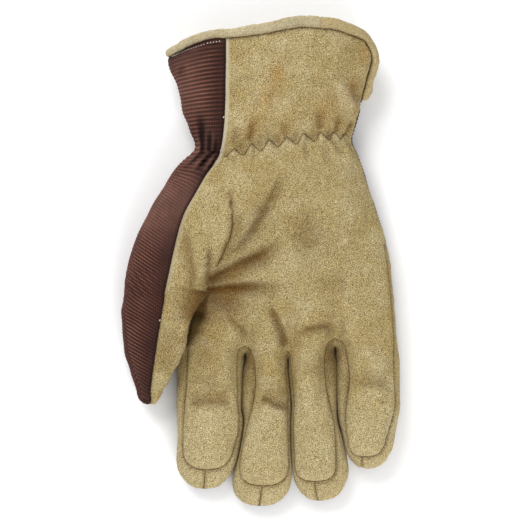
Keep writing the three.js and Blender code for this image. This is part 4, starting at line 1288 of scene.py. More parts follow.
class Recipe:
    """A material while it is mixed: its node tree, its shader and the colour so far."""

    def __init__(self, name: str, colour: Colour, roughness: float, sheen: float, specular: float) -> None:
        """Start the material and set its shader's constant sockets.

        Args:
            name: Name of the material.
            colour: Its first colour, which the tones are laid over.
            roughness: Roughness of the surface.
            sheen: Weight of the sheen of its nap or pile.
            specular: Specular level.
        """
        self.material = bpy.data.materials.new(name)
        self.material.use_nodes = True
        self.tree = self.material.node_tree
        self.shader = self.tree.nodes["Principled BSDF"]
        self.shader.inputs["Roughness"].default_value = roughness
        self.shader.inputs["Sheen Weight"].default_value = sheen
        self.shader.inputs["Sheen Roughness"].default_value = 0.5
        self.shader.inputs["Specular IOR Level"].default_value = specular
        self.colour: Colour | Socket = colour

    def add(self, kind: str, settings: dict | None = None, inputs: dict | None = None) -> bpy.types.Node:
        """Add one node with its settings and its inputs.

        Args:
            kind: Blender's name of the node's type.
            settings: Properties of the node. stops sets a colour ramp's places and colours.
            inputs: Value or linked socket for each input, by its name or number.

        Returns:
            The new node.
        """
        node = self.tree.nodes.new(kind)
        for name, value in (settings or {}).items():
            if name == "stops":
                elements = node.color_ramp.elements
                while len(elements) < len(value):
                    elements.new(0.5)
                for element, (place, colour) in zip(elements, value):
                    element.position = place
                    element.color = colour
            else:
                setattr(node, name, value)
        for name, value in (inputs or {}).items():
            if isinstance(value, Socket):
                self.tree.links.new(value, node.inputs[name])
            else:
                node.inputs[name].default_value = value
        return node

    def noise(self, size: float, low: float, high: float, detail: float = 3.0) -> Socket:
        """Share from 0 to 1 that follows object noise of a real size in mm.

        Args:
            size: Size of the pattern in mm.
            low: Level of the noise where the share is 0.
            high: Level of the noise where the share is 1.
            detail: How much finer noise is added.

        Returns:
            The share's socket.
        """
        inputs = {"Scale": 1 / (size * MM), "Detail": detail, "Roughness": 0.55}
        inputs["Vector"] = self.add("ShaderNodeTexCoord").outputs["Object"]
        level = self.add("ShaderNodeTexNoise", None, inputs).outputs["Fac"]
        levels = {"Value": level, "From Min": low, "From Max": high}
        return self.add("ShaderNodeMapRange", None, levels).outputs["Result"]

    def tint(self, share: str | Socket, tone: str) -> None:
        """Lay a tone over the colour so far, by a share or by one of the piece's own attributes.

        Args:
            share: The share, or the attribute's name.
            tone: The tone as a hex value.
        """
        if isinstance(share, str):
            share = self.add("ShaderNodeAttribute", {"attribute_name": share}).outputs["Fac"]
        layers = {0: share, 6: self.colour, 7: linear(tone)}
        self.colour = self.add("ShaderNodeMix", {"data_type": "RGBA"}, layers).outputs[2]

    def dapple(self, share: Socket, dark: Colour, light: Colour) -> None:
        """Multiply the colour so far by a tone between a dark and a light one.

        Args:
            share: How light the tone is.
            dark: The dark tone.
            light: The light tone.
        """
        tones = {0: share, 6: dark, 7: light}
        tone = self.add("ShaderNodeMix", {"data_type": "RGBA"}, tones).outputs[2]
        multiply = {"data_type": "RGBA", "blend_type": "MULTIPLY"}
        self.colour = self.add("ShaderNodeMix", multiply, {0: 1.0, 6: self.colour, 7: tone}).outputs[2]

    def finish(
        self, strength: float, distance: float, fine: Socket, coarse: Socket | None = None, share: float = 0.0
    ) -> Material:
        """Give the shader its colour and its bump.

        Args:
            strength: Strength of the bump.
            distance: Height of the bump in mm.
            fine: Fine pattern of the bump.
            coarse: A second pattern, or None.
            share: How much of the second pattern is added.

        Returns:
            The material.
        """
        self.tree.links.new(self.colour, self.shader.inputs["Base Color"])
        if coarse is not None:
            both = {0: coarse, 1: share, 2: fine}
            fine = self.add("ShaderNodeMath", {"operation": "MULTIPLY_ADD"}, both).outputs[0]
        bump = {"Height": fine, "Strength": strength, "Distance": distance * MM}
        normal = self.add("ShaderNodeBump", None, bump).outputs["Normal"]
        self.tree.links.new(normal, self.shader.inputs["Normal"])
        return self.material


@dataclass(frozen=True)
class SuedeDeerskin:
    """Split deerskin with a napped face: soft, matt, cloudy yellow tan with a short irregular grain."""

    name: str = "suede_deerskin"
    base: str = "#a2946c"
    pale: str = "#b2a786"
    cloud: str = "#9a875a"
    shadow: str = "#5a3d12"
    stain: str = "#a3712f"
    raw_edge: str = "#b9b097"
    nap_dark: str = "#92805f"
    nap_light: Colour = (1.62, 1.6, 1.5, 1.0)

    def build(self) -> Material:
        """Make the material.

        Returns:
            The material.
        """
        # The nap scatters light at all angles, so it is rough with a faint sheen and hardly any gloss
        recipe = Recipe(self.name, linear(self.base), 0.92, 0.15, 0.2)
        recipe.shader.inputs["Sheen Tint"].default_value = linear(self.pale)
        recipe.tint(recipe.noise(22, 0.4, 0.75), self.cloud)
        recipe.tint(recipe.noise(13, 0.45, 0.8), self.pale)
        # Paler towards the fingertips, and painted highlight on the ridges of the folds
        recipe.tint("worn", self.pale)
        recipe.tint("stain", self.stain)
        recipe.tint("shade", self.shadow)
        # Nap of about 0.2 mm, drawn at 0.4 mm so that it shows
        nap = recipe.noise(0.4, 0.34, 0.66, 1.0)
        recipe.dapple(nap, linear(self.nap_dark), self.nap_light)
        recipe.tint("raw_edge", self.raw_edge)
        return recipe.finish(0.5, 0.12, nap, recipe.noise(2.2, 0.2, 0.8), 0.6)


@dataclass(frozen=True)
class RibbedCotton:
    """Woven cotton with raised ribs: warm red brown, with painted highlight on their crowns and painted
    shade, nearly black, between them.
    """

    name: str = "ribbed_cotton"
    groove: str = "#2f1813"
    flank: str = "#4c2d25"
    crown: str = "#8b5c4b"
    band: str = "#4f302b"
    # Colour of the painted light and painted highlight
    worn: str = "#8a6458"
    shadow: str = "#1d0d0b"

    def build(self) -> Material:
        """Make the material.

        Returns:
            The material.
        """
        # Matt yarn with a little fuzz, which gives the crowns of the ribs a soft warm edge of light
        recipe = Recipe(self.name, linear(self.flank), 0.9, 0.2, 0.2)
        recipe.shader.inputs["Sheen Tint"].default_value = linear(self.crown)
        # The ribs' height painted as colour: painted shade in the grooves and painted highlight on the crowns
        rib = recipe.add("ShaderNodeAttribute", {"attribute_name": "rib"}).outputs["Fac"]
        stops = [(0.0, linear(self.groove)), (0.5, linear(self.flank)), (1.0, linear(self.crown))]
        recipe.colour = recipe.add("ShaderNodeValToRGB", {"stops": stops}, {"Fac": rib}).outputs["Color"]
        # Warp threads of 0.4 mm, drawn at 0.9 mm so that they show as ticks on the ribs
        warp = {"Scale": 0.314 / (0.9 * MM), "Distortion": 2.0, "Detail": 2.0, "Detail Scale": 3.0}
        warp["Vector"] = recipe.add("ShaderNodeUVMap", {"uv_map": "weave"}).outputs["UV"]
        ticks = recipe.add("ShaderNodeTexWave", {"bands_direction": "X"}, warp).outputs["Fac"]
        recipe.dapple(ticks, grey(0.6), grey(1.25))
        # Painted light on the cuff's left and on the thumb, and painted highlight on the ridges of the
        # gathers
        recipe.tint("worn", self.worn)
        recipe.tint("band", self.band)
        recipe.tint("shade", self.shadow)
        recipe.dapple(recipe.noise(12, 0.35, 0.7), grey(0.82), grey(1.15))
        fibres = recipe.noise(0.5, 0.25, 0.75, 1.0)
        recipe.dapple(fibres, grey(0.8), grey(1.15))
        return recipe.finish(0.4, 0.2, fibres, ticks, 0.7)


@dataclass(frozen=True)
class GrainLeather:
    """Smooth-faced deerskin strip for the binding: finer grained and a little less matt than the suede."""

    name: str = "grain_binding_leather"
    base: str = "#b0a381"
    dull: str = "#a09272"
    suede: str = "#ab9869"
    shadow: str = "#7a5a24"

    def build(self) -> Material:
        """Make the material.

        Returns:
            The material.
        """
        # The closed grain side keeps a weak broad shine along the roll
        recipe = Recipe(self.name, linear(self.base), 0.8, 0.08, 0.3)
        recipe.tint(recipe.noise(9, 0.4, 0.72), self.dull)
        recipe.tint("suede", self.suede)
        recipe.tint("shade", self.shadow)
        # Pores of about 0.2 mm, drawn at 0.55 mm so that they show
        pores = recipe.noise(0.55, 0.3, 0.7, 1.0)
        recipe.dapple(pores, grey(0.6), grey(1.34))
        return recipe.finish(0.25, 0.2, pores)


@dataclass(frozen=True)
class SewingThread:
    """Twisted polyester sewing thread: finely mottled by its plies, with a slight gloss."""

    name: str
    colour: str
    dark_share: float = 0.6

    def build(self) -> Material:
        """Make the material.

        Returns:
            The material.
        """
        # The plies shade each other, so the thread looks finely mottled and hardly shines
        dark = (*[self.dark_share * channel for channel in linear(self.colour)[:3]], 1.0)
        recipe = Recipe(self.name, dark, 0.6, 0.1, 0.35)
        twist = recipe.noise(0.4, 0.3, 0.7, 1.0)
        recipe.tint(twist, self.colour)
        return recipe.finish(0.5, 0.1, twist)


@dataclass(frozen=True)
class PaperSweep:
    """Matt white background paper: even and almost without texture."""

    name: str = "white_paper"
    colour: str = "#ffffff"

    def build(self) -> Material:
        """Make the material.

        Returns:
            The material.
        """
        # Rough uncoated paper, so that the glove's soft shadow falls on it without any shine
        recipe = Recipe(self.name, linear(self.colour), 0.95, 0.0, 0.1)
        recipe.dapple(recipe.noise(3, 0.3, 0.7), grey(1.0), grey(0.985))
        recipe.tree.links.new(recipe.colour, recipe.shader.inputs["Base Color"])
        return recipe.material


LEATHER_DENSITY = Density(fabric_front=4, thumb_front=14, finger_front=28, side_steps=9, row_pitch=0.75)
FABRIC_DENSITY = Density(fabric_front=20, thumb_front=6, finger_front=8, side_steps=9, row_pitch=0.5)

# Seeds of the irregular waves of each surface
FABRIC_SEED = 7
PUFF_SEED = 11
FINE_PUFF_SEED = 23
PUCKER_SEED = 31
ROLL_SEED = 41
FINE_ROLL_SEED = 43
# Orange brown stains of the cuff's leather: x, y, reach and strength
STAINS = [
    (8.8, 95, 2.8, 0.36), (4.5, 84, 4.5, 0.2), (-5, 65.5, 2.6, 0.36), (30.5, 72.4, 3.4, 0.26),
    (13, 66, 2.6, 0.22), (53.5, 106, 2.6, 0.34), (46, 88, 3.0, 0.42), (34, 76, 5.0, 0.2),
    (39, 69, 2.0, 0.3), (58, 97, 1.8, 0.25),
]

# The narrow strips are held taut by their seams
STRIP_FORM = {"puff": 0.16, "fine_puff": 0.07, "pucker": 0.1}
# Painted shade on the left and the right wall of each strip near the crotch
GAP_WALL_SHADE = {
    Node.INDEX_OUTER: (0.0, 0.0),
    Node.INDEX_MIDDLE: (0.62, 0.2),
    Node.MIDDLE_RING: (0.3, 0.3),
    Node.RING_LITTLE: (0.22, 0.58),
    Node.LITTLE_OUTER: (0.0, 0.0),
}


def finish_piece(piece: Piece, slot: str, *nodes: Node) -> Piece:
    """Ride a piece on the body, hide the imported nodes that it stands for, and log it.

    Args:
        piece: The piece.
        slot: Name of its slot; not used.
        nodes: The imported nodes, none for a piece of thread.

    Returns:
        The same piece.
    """
    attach(piece, "root")
    if nodes:
        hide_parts(*[node.value for node in nodes])
    LOG.info("%s: %d faces", piece.name, len(piece.data.polygons))
    return piece


@dataclass
class LeatherPiece:
    """A piece of deerskin cut from the skin: the palm or a side strip.

    puff is how uneven the leather lies, pinch how deep its edges are drawn in by the seams,
    and pucker how much they ruck up between the stitches.
    """

    node: Node
    puff: float = 0.35
    puff_size: float = 17.0
    fine_puff: float = 0.14
    fine_size: float = 5.5
    pinch: float = 0.55
    pinch_reach: float = 1.0
    pucker: float = 0.16
    pucker_size: float = 2.6
    pucker_reach: float = 2.0
    raw_edge_width: float = 1.9
    # Painted shade on the strip's left and right wall near the crotch
    gap_wall_shade: tuple[float, float] = (0.0, 0.0)
    # Painted shade in the gaps between the fingers: where it ends along the hand, and the heights where it
    # starts and is full
    gap_end: float = -96.0
    gap_lit: float = 13.0
    gap_dark: float = 6.0
    gap_evenness: float = 0.95
    stain_length: float = 2.0
    seam_shade: float = 0.45
    # How much paler the pads are towards the fingertips
    pad_paleness: float = 0.5

    def build(self, skin: Skin) -> Shell:
        """Cut the piece and shape its surface.

        Args:
            skin: The glove's skin.

        Returns:
            The shaped piece.
        """
        shell = Shell(skin, NODES.index(self.node), LEATHER_WALL)
        at = shell.outer
        away = shell.edge_away
        held = smoothstep(0, 6, away)
        if self.node in BETWEEN_FINGERS:
            held *= 1 - self.gap_evenness * np.abs(shell.normals[:, 0])
        shell.push(self.puff * ripple(at, self.puff_size, PUFF_SEED) * held, 1.0)
        loose = np.minimum(smoothstep(0, 2.5, away), held + 0.3)
        shell.push(self.fine_puff * ripple(at, self.fine_size, FINE_PUFF_SEED) * loose)
        near = bell(away, self.pucker_reach) * smoothstep(0, 0.8, away)
        shell.push(self.pucker * ripple(at, self.pucker_size, PUCKER_SEED) * near)
        shell.push(-self.pinch * bell(away, self.pinch_reach))
        return shell

    def dress(self, shell: Shell, material: Material) -> Piece:
        """Give the piece the values that its material reads, and make its object.

        Args:
            shell: The piece cut from the skin.
            material: Material of the piece.

        Returns:
            The piece's object.
        """
        at = shell.outer
        stain = np.zeros(len(at))
        for x, y, reach, strength in STAINS:
            far = (at[:, 0] - x - 0.3 * (at[:, 1] - y)) ** 2 + ((at[:, 1] - y) / self.stain_length) ** 2
            stain = np.maximum(stain, strength * np.exp(-far / reach**2))
        # Painted shade along the seams, low in the gaps between the fingers and on the strips' walls near the
        # crotches
        shade = np.maximum(shell.skin.shade[shell.ids], self.seam_shade * bell(shell.edge_away, 0.9))
        if self.node in BETWEEN_FINGERS:
            facing = np.abs(shell.normals[:, 0]) * smoothstep(self.gap_end - 8, self.gap_end, at[:, 1])
            shade = np.maximum(shade, 0.85 * facing * smoothstep(self.gap_lit, self.gap_dark, at[:, 2]))
            sideways = np.where(shell.normals[:, 0] < 0, self.gap_wall_shade[0], self.gap_wall_shade[1])
            shade = np.maximum(shade, sideways * smoothstep(-74, -50, at[:, 1]))
        shell.values["stain"] = stain
        # Paler towards the fingertips, and painted highlight on the ridges of the folds
        worn = self.pad_paleness * smoothstep(-62, -84, at[:, 1])
        shell.values["worn"] = np.maximum(worn, shell.skin.pale[shell.ids])
        shell.values["shade"] = shade
        shell.values["raw_edge"] = self._raw_edge(shell)
        return finish_piece(shell.build(f"dressed_{self.node.value}", material), "deerskin", self.node)

    def _raw_edge(self, shell: Shell) -> Array:
        """Share of pale cut edge, along the seam with the fabric of the cuff.

        Args:
            shell: The piece cut from the skin.

        Returns:
            One share for each vertex.
        """
        skin = shell.skin
        own = np.unique(skin.quads[skin.codes == shell.code])
        fabric = np.unique(skin.quads[skin.codes == BACK_CODE])
        shared = np.intersect1d(own, fabric)
        shared = shared[(skin.normals[shared, 2] > 0.3) & (skin.at[shared, 1] > -15)]
        if len(shared) == 0:
            return np.zeros(len(shell.ids))
        away = distance_to(skin.at[shared], skin.at[shell.ids])
        on_cuff = mix(0.35, 0.9, smoothstep(40, 60, shell.outer[:, 1]))
        return on_cuff * smoothstep(self.raw_edge_width + 0.5, self.raw_edge_width - 0.3, away)


@dataclass
class RibbedBack:
    """The ribbed fabric: back of the whole glove, round the thumb side to the front."""

    node: Node = Node.BACK
    cuff_pitch: float = 2.1
    thumb_pitch: float = 1.85
    thumb_slope: float = 0.68
    end_slope: float = 0.55
    seen_half: float = 10.0
    turn_reach: float = 20.0
    round_reach: float = 45.0
    wrist_bow: float = 0.003
    hem_bow: float = 0.009
    puff: float = 0.3
    puff_size: float = 15.0
    rib_depth: float = 0.34
    rib_thinness: float = 1.5
    band_width: float = 2.4
    # Painted light on the cuff's left and on the thumb, and painted highlight on the ridges of the gathers
    cuff_painted_light: float = 0.22
    ridge_highlight: float = 0.45
    pinch: float = 0.45
    pinch_reach: float = 0.8

    def build(self, skin: Skin) -> Shell:
        """Cut the piece and raise its ribs.

        Args:
            skin: The glove's skin.

        Returns:
            The shaped piece, with the values that its material reads.
        """
        shell = Shell(skin, BACK_CODE, FABRIC_WALL)
        at = skin.at[shell.ids]
        hem = np.concatenate([skin.upper[0].front, skin.upper[0].back, skin.upper_left[0]])
        hem_away = distance_to(skin.at[hem], at)
        band = smoothstep(self.band_width + 0.4, self.band_width - 0.2, hem_away)
        phase = self._rib_phase(skin.girth[shell.ids], at[:, 1])
        rib = (0.5 + 0.5 * np.cos(2 * np.pi * phase)) ** self.rib_thinness
        rib = mix(rib, 0.5, band)
        held = smoothstep(0, 5, shell.edge_away)
        shell.push(self.puff * ripple(at, self.puff_size, FABRIC_SEED) * held, 1.0)
        shell.push(-self.rib_depth * (1 - rib))
        shell.push(-self.pinch * bell(shell.edge_away, self.pinch_reach))
        # Painted shade along the seams and under the binding, and the ribs' colour painted darker within 14
        # mm of the seams
        seam_painted_shade = 0.75 * bell(shell.edge_away, 1.1) + 0.25 * bell(shell.edge_away, 6)
        shell.values["rib"] = rib * mix(0.55, 1, smoothstep(0, 14, shell.edge_away))
        # Painted light on the cuff's left and on the thumb, and painted highlight on the ridges of the
        # gathers
        places = smoothstep(60, 80, at[:, 1]) + 1.6 * bell(at[:, 1] - 28, 16)
        worn = self.cuff_painted_light * smoothstep(-22, -38, skin.girth[shell.ids]) * places
        shell.values["worn"] = np.maximum(worn, self.ridge_highlight * skin.pale[shell.ids])
        shell.values["band"] = band
        shell.values["shade"] = np.maximum(skin.shade[shell.ids], seam_painted_shade)
        shell.values["phase"] = phase
        return shell

    def _rib_phase(self, girth: Array, y: Array) -> Array:
        """Number of ribs counted along the hand, by the place round the girth and along the hand.

        Args:
            girth: Places round the girth.
            y: Places along the hand.

        Returns:
            One number for each place.
        """
        side = THUMB_SIDE(np.arange(THUMB_CROTCH_SECTION + 1.0))
        places = ((side.outline_y + side.seam_y) / 2)[::-1]
        middles = ((side.outline_x + side.seam_x) / 2)[::-1]
        steps = np.linspace(-160, 160, 641)
        slope = mix(self.end_slope, self.thumb_slope, smoothstep(-50, 0, steps)) * smoothstep(54, 32, steps)
        pitch = mix(self.thumb_pitch, self.cuff_pitch, smoothstep(30, 55, steps))
        middle = np.interp(steps, places, middles)
        rate = (1 + slope * np.gradient(middle, steps)) / pitch
        count = np.concatenate([[0], np.cumsum(np.diff(steps) * (rate[1:] + rate[:-1]) / 2)])
        from_middle = girth - np.interp(y, steps, middle) + self.seen_half
        eased = self.turn_reach * np.tanh(from_middle / self.turn_reach)
        across = np.where(from_middle < 0, eased, from_middle)
        turned = np.interp(y, steps, slope / pitch) * (across - self.seen_half)
        from_seam = self.round_reach * np.tanh(np.minimum(girth + 18, 0) / self.round_reach)
        bow = mix(self.wrist_bow, self.hem_bow, smoothstep(65, 105, y)) * smoothstep(45, 65, y)
        return np.interp(y + bow * from_seam**2, steps, count) + turned

    def dress(self, shell: Shell, material: Material) -> Piece:
        """Make the object with the weave's own coordinates.

        Args:
            shell: The piece cut from the skin.
            material: Material of the piece.

        Returns:
            The piece's object.
        """
        phase = shell.values.pop("phase")
        girth = shell.skin.girth[shell.ids]
        piece = shell.build(f"dressed_{self.node.value}", material)
        weave = np.column_stack([girth, phase * self.cuff_pitch]) * MM
        weave = np.vstack([weave, weave]).astype(np.float32)
        corners = np.zeros(len(piece.data.loops), dtype=np.int32)
        piece.data.loops.foreach_get("vertex_index", corners)
        piece.data.uv_layers.new(name="weave").data.foreach_set("uv", weave[corners].ravel())
        return finish_piece(piece, "ribbed_fabric", self.node)


def resampled(points: Array, others: Array, pitch: float) -> tuple[Array, Array]:
    """A line and vectors along it, read again at even places.

    Args:
        points: Points of the line.
        others: One vector for each point.
        pitch: Distance between the new places.

    Returns:
        The new points and vectors.
    """
    lengths = np.linalg.norm(np.diff(points, axis=0), axis=1)
    places = np.concatenate([[0], np.cumsum(lengths)])
    count = max(int(round(places[-1] / pitch)), 1)
    at = np.linspace(0, places[-1], count + 1)
    read = [np.interp(at, places, column) for column in (*points.T, *others.T)]
    return np.column_stack(read[:3]), np.column_stack(read[3:])


@dataclass(frozen=True)
class Stitch:
    """One kind of stitch: its pitch, the thread's radius and how far the ends dip.

    fill is the share of the pitch that it fills, and depth how deep its line lies under the surface.
    """

    pitch: float
    radius: float
    sink: float
    fill: float = 0.86
    depth: float = 0.0


class MeshParts:
    """Many small parts gathered into one mesh."""

    def __init__(self) -> None:
        """Start with nothing."""
        self.points: list[Array] = []
        self.faces: list[list[int]] = []
        self.count = 0

    def add(self, points: Array, faces: list[list[int]]) -> None:
        """Add a part with faces numbered from its own first point.

        Args:
            points: Its points.
            faces: Its faces.
        """
        self.faces.extend([[self.count + i for i in face] for face in faces])
        self.points.append(points)
        self.count += len(points)

    def strand(self, path: Array, normals: Array, radii: Sequence[float], sides: int = 6) -> None:
        """Add a closed round strand along a path.

        Args:
            path: Points of the middle.
            normals: A sideways vector for each point.
            radii: Radius at each point.
            sides: How many sides the strand has.
        """
        along = unit(np.gradient(path, axis=0))
        across = unit(np.cross(along, normals))
        upward = np.cross(across, along)
        angles = 2 * np.pi * np.arange(sides) / sides
        cosine, sine = np.cos(angles)[None, :, None], np.sin(angles)[None, :, None]
        ring = cosine * across[:, None, :] + sine * upward[:, None, :]
        points = path[:, None, :] + ring * np.asarray(radii)[:, None, None]
        self.add(points.reshape(-1, 3), ring_faces(len(path), sides))

    def stitches(self, path: Array, normals: Array, stitch: Stitch) -> None:
        """Add a row of stitches whose ends dip into the material.

        Args:
            path: Points on the surface along the line that they follow.
            normals: Outward vector at each point.
            stitch: The kind of stitch.
        """
        fine, fine_normals = resampled(path - normals * stitch.depth, normals, stitch.pitch / 4)
        dips = np.array([1.0, 0.15, 0.0, 0.15, 1.0])
        for first in range(0, len(fine) - 4, 4):
            part = slice(first, first + 5)
            way = fine[first + 4] - fine[first]
            middle = fine[part].mean(axis=0)
            points = middle + (fine[part] - middle) * stitch.fill
            points = points - fine_normals[part] * (stitch.sink * dips)[:, None]
            if np.linalg.norm(way) > stitch.pitch * 0.5:
                self.strand(points, fine_normals[part], stitch.radius * np.array([0.8, 1.0, 1.0, 1.0, 0.8]))

    def build(self, name: str, material: Material) -> Piece:
        """Make one object of all the parts."""
        return mesh_object(name, np.vstack(self.points), self.faces, material)


class Surface:
    """Finds the place and the normal of the dressed walls above a point in plan."""

    def __init__(self, shells: Sequence[Shell]) -> None:
        """Gather the upward facing points of the shells.

        Args:
            shells: The dressed pieces.
        """
        points = np.vstack([shell.outer for shell in shells])
        normals = np.vstack([shell.normals for shell in shells])
        upward = normals[:, 2] > 0.15
        self.points, self.normals = points[upward], normals[upward]
        self.tree = point_tree(self.points * (1, 1, 0))

    def read(self, x: float, y: float) -> tuple[Array, Array]:
        """Place and normal of the surface above one point in plan.

        Args:
            x: Place across the hand.
            y: Place along the hand.

        Returns:
            The place and the unit normal.
        """
        near = self.tree.find_n(Vector((x, y, 0)), 5)
        weights = np.array([1 / (item[2] + 0.05) for item in near])
        weights /= weights.sum()
        ids = [item[1] for item in near]
        z = float(weights @ self.points[ids, 2])
        return np.array([x, y, z]), unit(weights @ self.normals[ids])

    def line(self, corners: Sequence[tuple[float, float]], pitch: float) -> tuple[Array, Array]:
        """A line laid on the surface through corners in plan.

        Args:
            corners: The line's corners.
            pitch: Distance between its points.

        Returns:
            Its points and normals.
        """
        flat = np.array([(x, y, 0.0) for x, y in corners])
        even, _same = resampled(flat, flat, pitch)
        read = [self.read(x, y) for x, y, _z in even]
        return np.array([place for place, _normal in read]), np.array([normal for _place, normal in read])


@dataclass
class HemBinding:
    """Rolled leather binding round the opening and down the vent, with a joint and folded ends."""

    widths: Table = Table("at width", [[-48, 4.1], [-18, 4.4], [2, 5.4], [25, 5.9], [48, 5.3], [58, 4.9]])
    thickness: float = 4.5
    sides: int = 24
    step: float = 0.8
    end_short: float = 0.9
    smoothing: int = 7
    flatness: float = 1.2
    end_round: float = 5.0
    joint_x: float = 29.8
    joint_depth: float = 0.4 / 2.5
    joint_step: float = 0.04
    joint_shade: float = 0.35
    edge_shade: float = 0.6
    suede_share: float = 0.75
    squareness: float = 2.4

    def path(self, skin: Skin) -> tuple[Array, Array]:
        """Edge that the binding covers, and the skin's normals along it.

        Args:
            skin: The glove's skin.

        Returns:
            Points and unit normals.
        """
        rows = skin.upper[: skin.vent_row + 1]
        front_edge = [row.front[-1] for row in rows][::-1]
        back_edge = [row.back[-1] for row in rows]
        top = skin.upper[0]
        ids = [*front_edge, *top.front[1:-1][::-1], *skin.upper_left[0], *top.back[1:-1], *back_edge]
        points, normals = (
            smoothed(rows, self.smoothing, mode="reflect", reflect_type="odd")
            for rows in resampled(skin.at[ids], skin.normals[ids], self.step)
        )
        normals[:, 2] *= 1 + self.flatness
        return points, unit(normals)

    def build(self, skin: Skin) -> tuple[Array, list[list[int]], dict[str, Array]]:
        """Points and faces of the roll, and how shaded and how much like suede it is.

        Args:
            skin: The glove's skin.

        Returns:
            The points, the faces and the values of the points by name.
        """
        points, normals = self.path(skin)
        along = unit(np.gradient(points, axis=0))
        normals = unit(normals - along * (normals * along).sum(axis=1, keepdims=True))
        out = np.cross(along, normals)
        width = self.widths(points[:, 0]).width
        centre = points + out * ((width + SEAM_GAP) / 2)[:, None] - normals * LEATHER_WALL / 2
        place = np.arange(len(points)) * self.step
        from_end = np.minimum(place, place[-1] - place) - self.end_short
        kept = from_end >= 0
        centre, normals, out, place, from_end, width = (
            rows[kept] for rows in (centre, normals, out, place, from_end, width)
        )
        on_front = np.arange(len(centre)) < len(centre) * 0.45
        joint = place[np.argmin(np.where(on_front, np.abs(centre[:, 0] - self.joint_x), np.inf))]
        from_joint = place - joint
        grow = 1 - self.joint_depth * bell(from_joint, 0.45)
        grow += np.where(from_joint < 0, self.joint_step, 0) * bell(from_joint, 12)
        end = np.sqrt(1 - (1 - np.clip((from_end + 0.35) / self.end_round, 0, 1)) ** 2)
        grow *= end
        centre = centre - out * ((1 - end) * width * 0.35)[:, None]
        angles = 2 * np.pi * np.arange(self.sides) / self.sides
        power = 2 / self.squareness
        u = np.sign(np.cos(angles)) * np.abs(np.cos(angles)) ** power / 2
        v = np.sign(np.sin(angles)) * np.abs(np.sin(angles)) ** power * self.thickness / 2
        v *= 1 - 0.3 * np.clip(-np.cos(angles), 0, 1) ** 3
        radial = out[:, None, :] * (width[:, None] * u)[:, :, None] + normals[:, None, :] * v[None, :, None]
        ring = centre[:, None, :] + radial * grow[:, None, None]
        flat = ring.reshape(-1, 3)
        ways = unit(radial.reshape(-1, 3))
        waves = 0.16 * ripple(flat, 8, ROLL_SEED) + 0.07 * ripple(flat, 2.4, FINE_ROLL_SEED)
        flat = flat + ways * waves[:, None]
        flat[:, 2] = np.maximum(flat[:, 2], 0)
        shade = np.tile(smoothstep(-0.7, -1, np.cos(angles)), len(centre)) * self.edge_shade
        shade = np.maximum(shade, np.repeat(self.joint_shade * bell(from_joint, 0.5), self.sides))
        suede = np.repeat(self.suede_share * smoothstep(0.3, -0.3, from_joint) * on_front, self.sides)
        return flat, ring_faces(len(centre), self.sides, True), {"shade": shade, "suede": suede}

    def dress(self, skin: Skin, material: Material) -> Piece:
        """Make the binding's object.

        Args:
            skin: The glove's skin.
            material: Material of the piece.

        Returns:
            The piece's object.
        """
        points, faces, values = self.build(skin)
        piece = mesh_object("dressed_hem_binding", points, faces, material, values)
        return finish_piece(piece, "binding_leather", Node.BINDING)


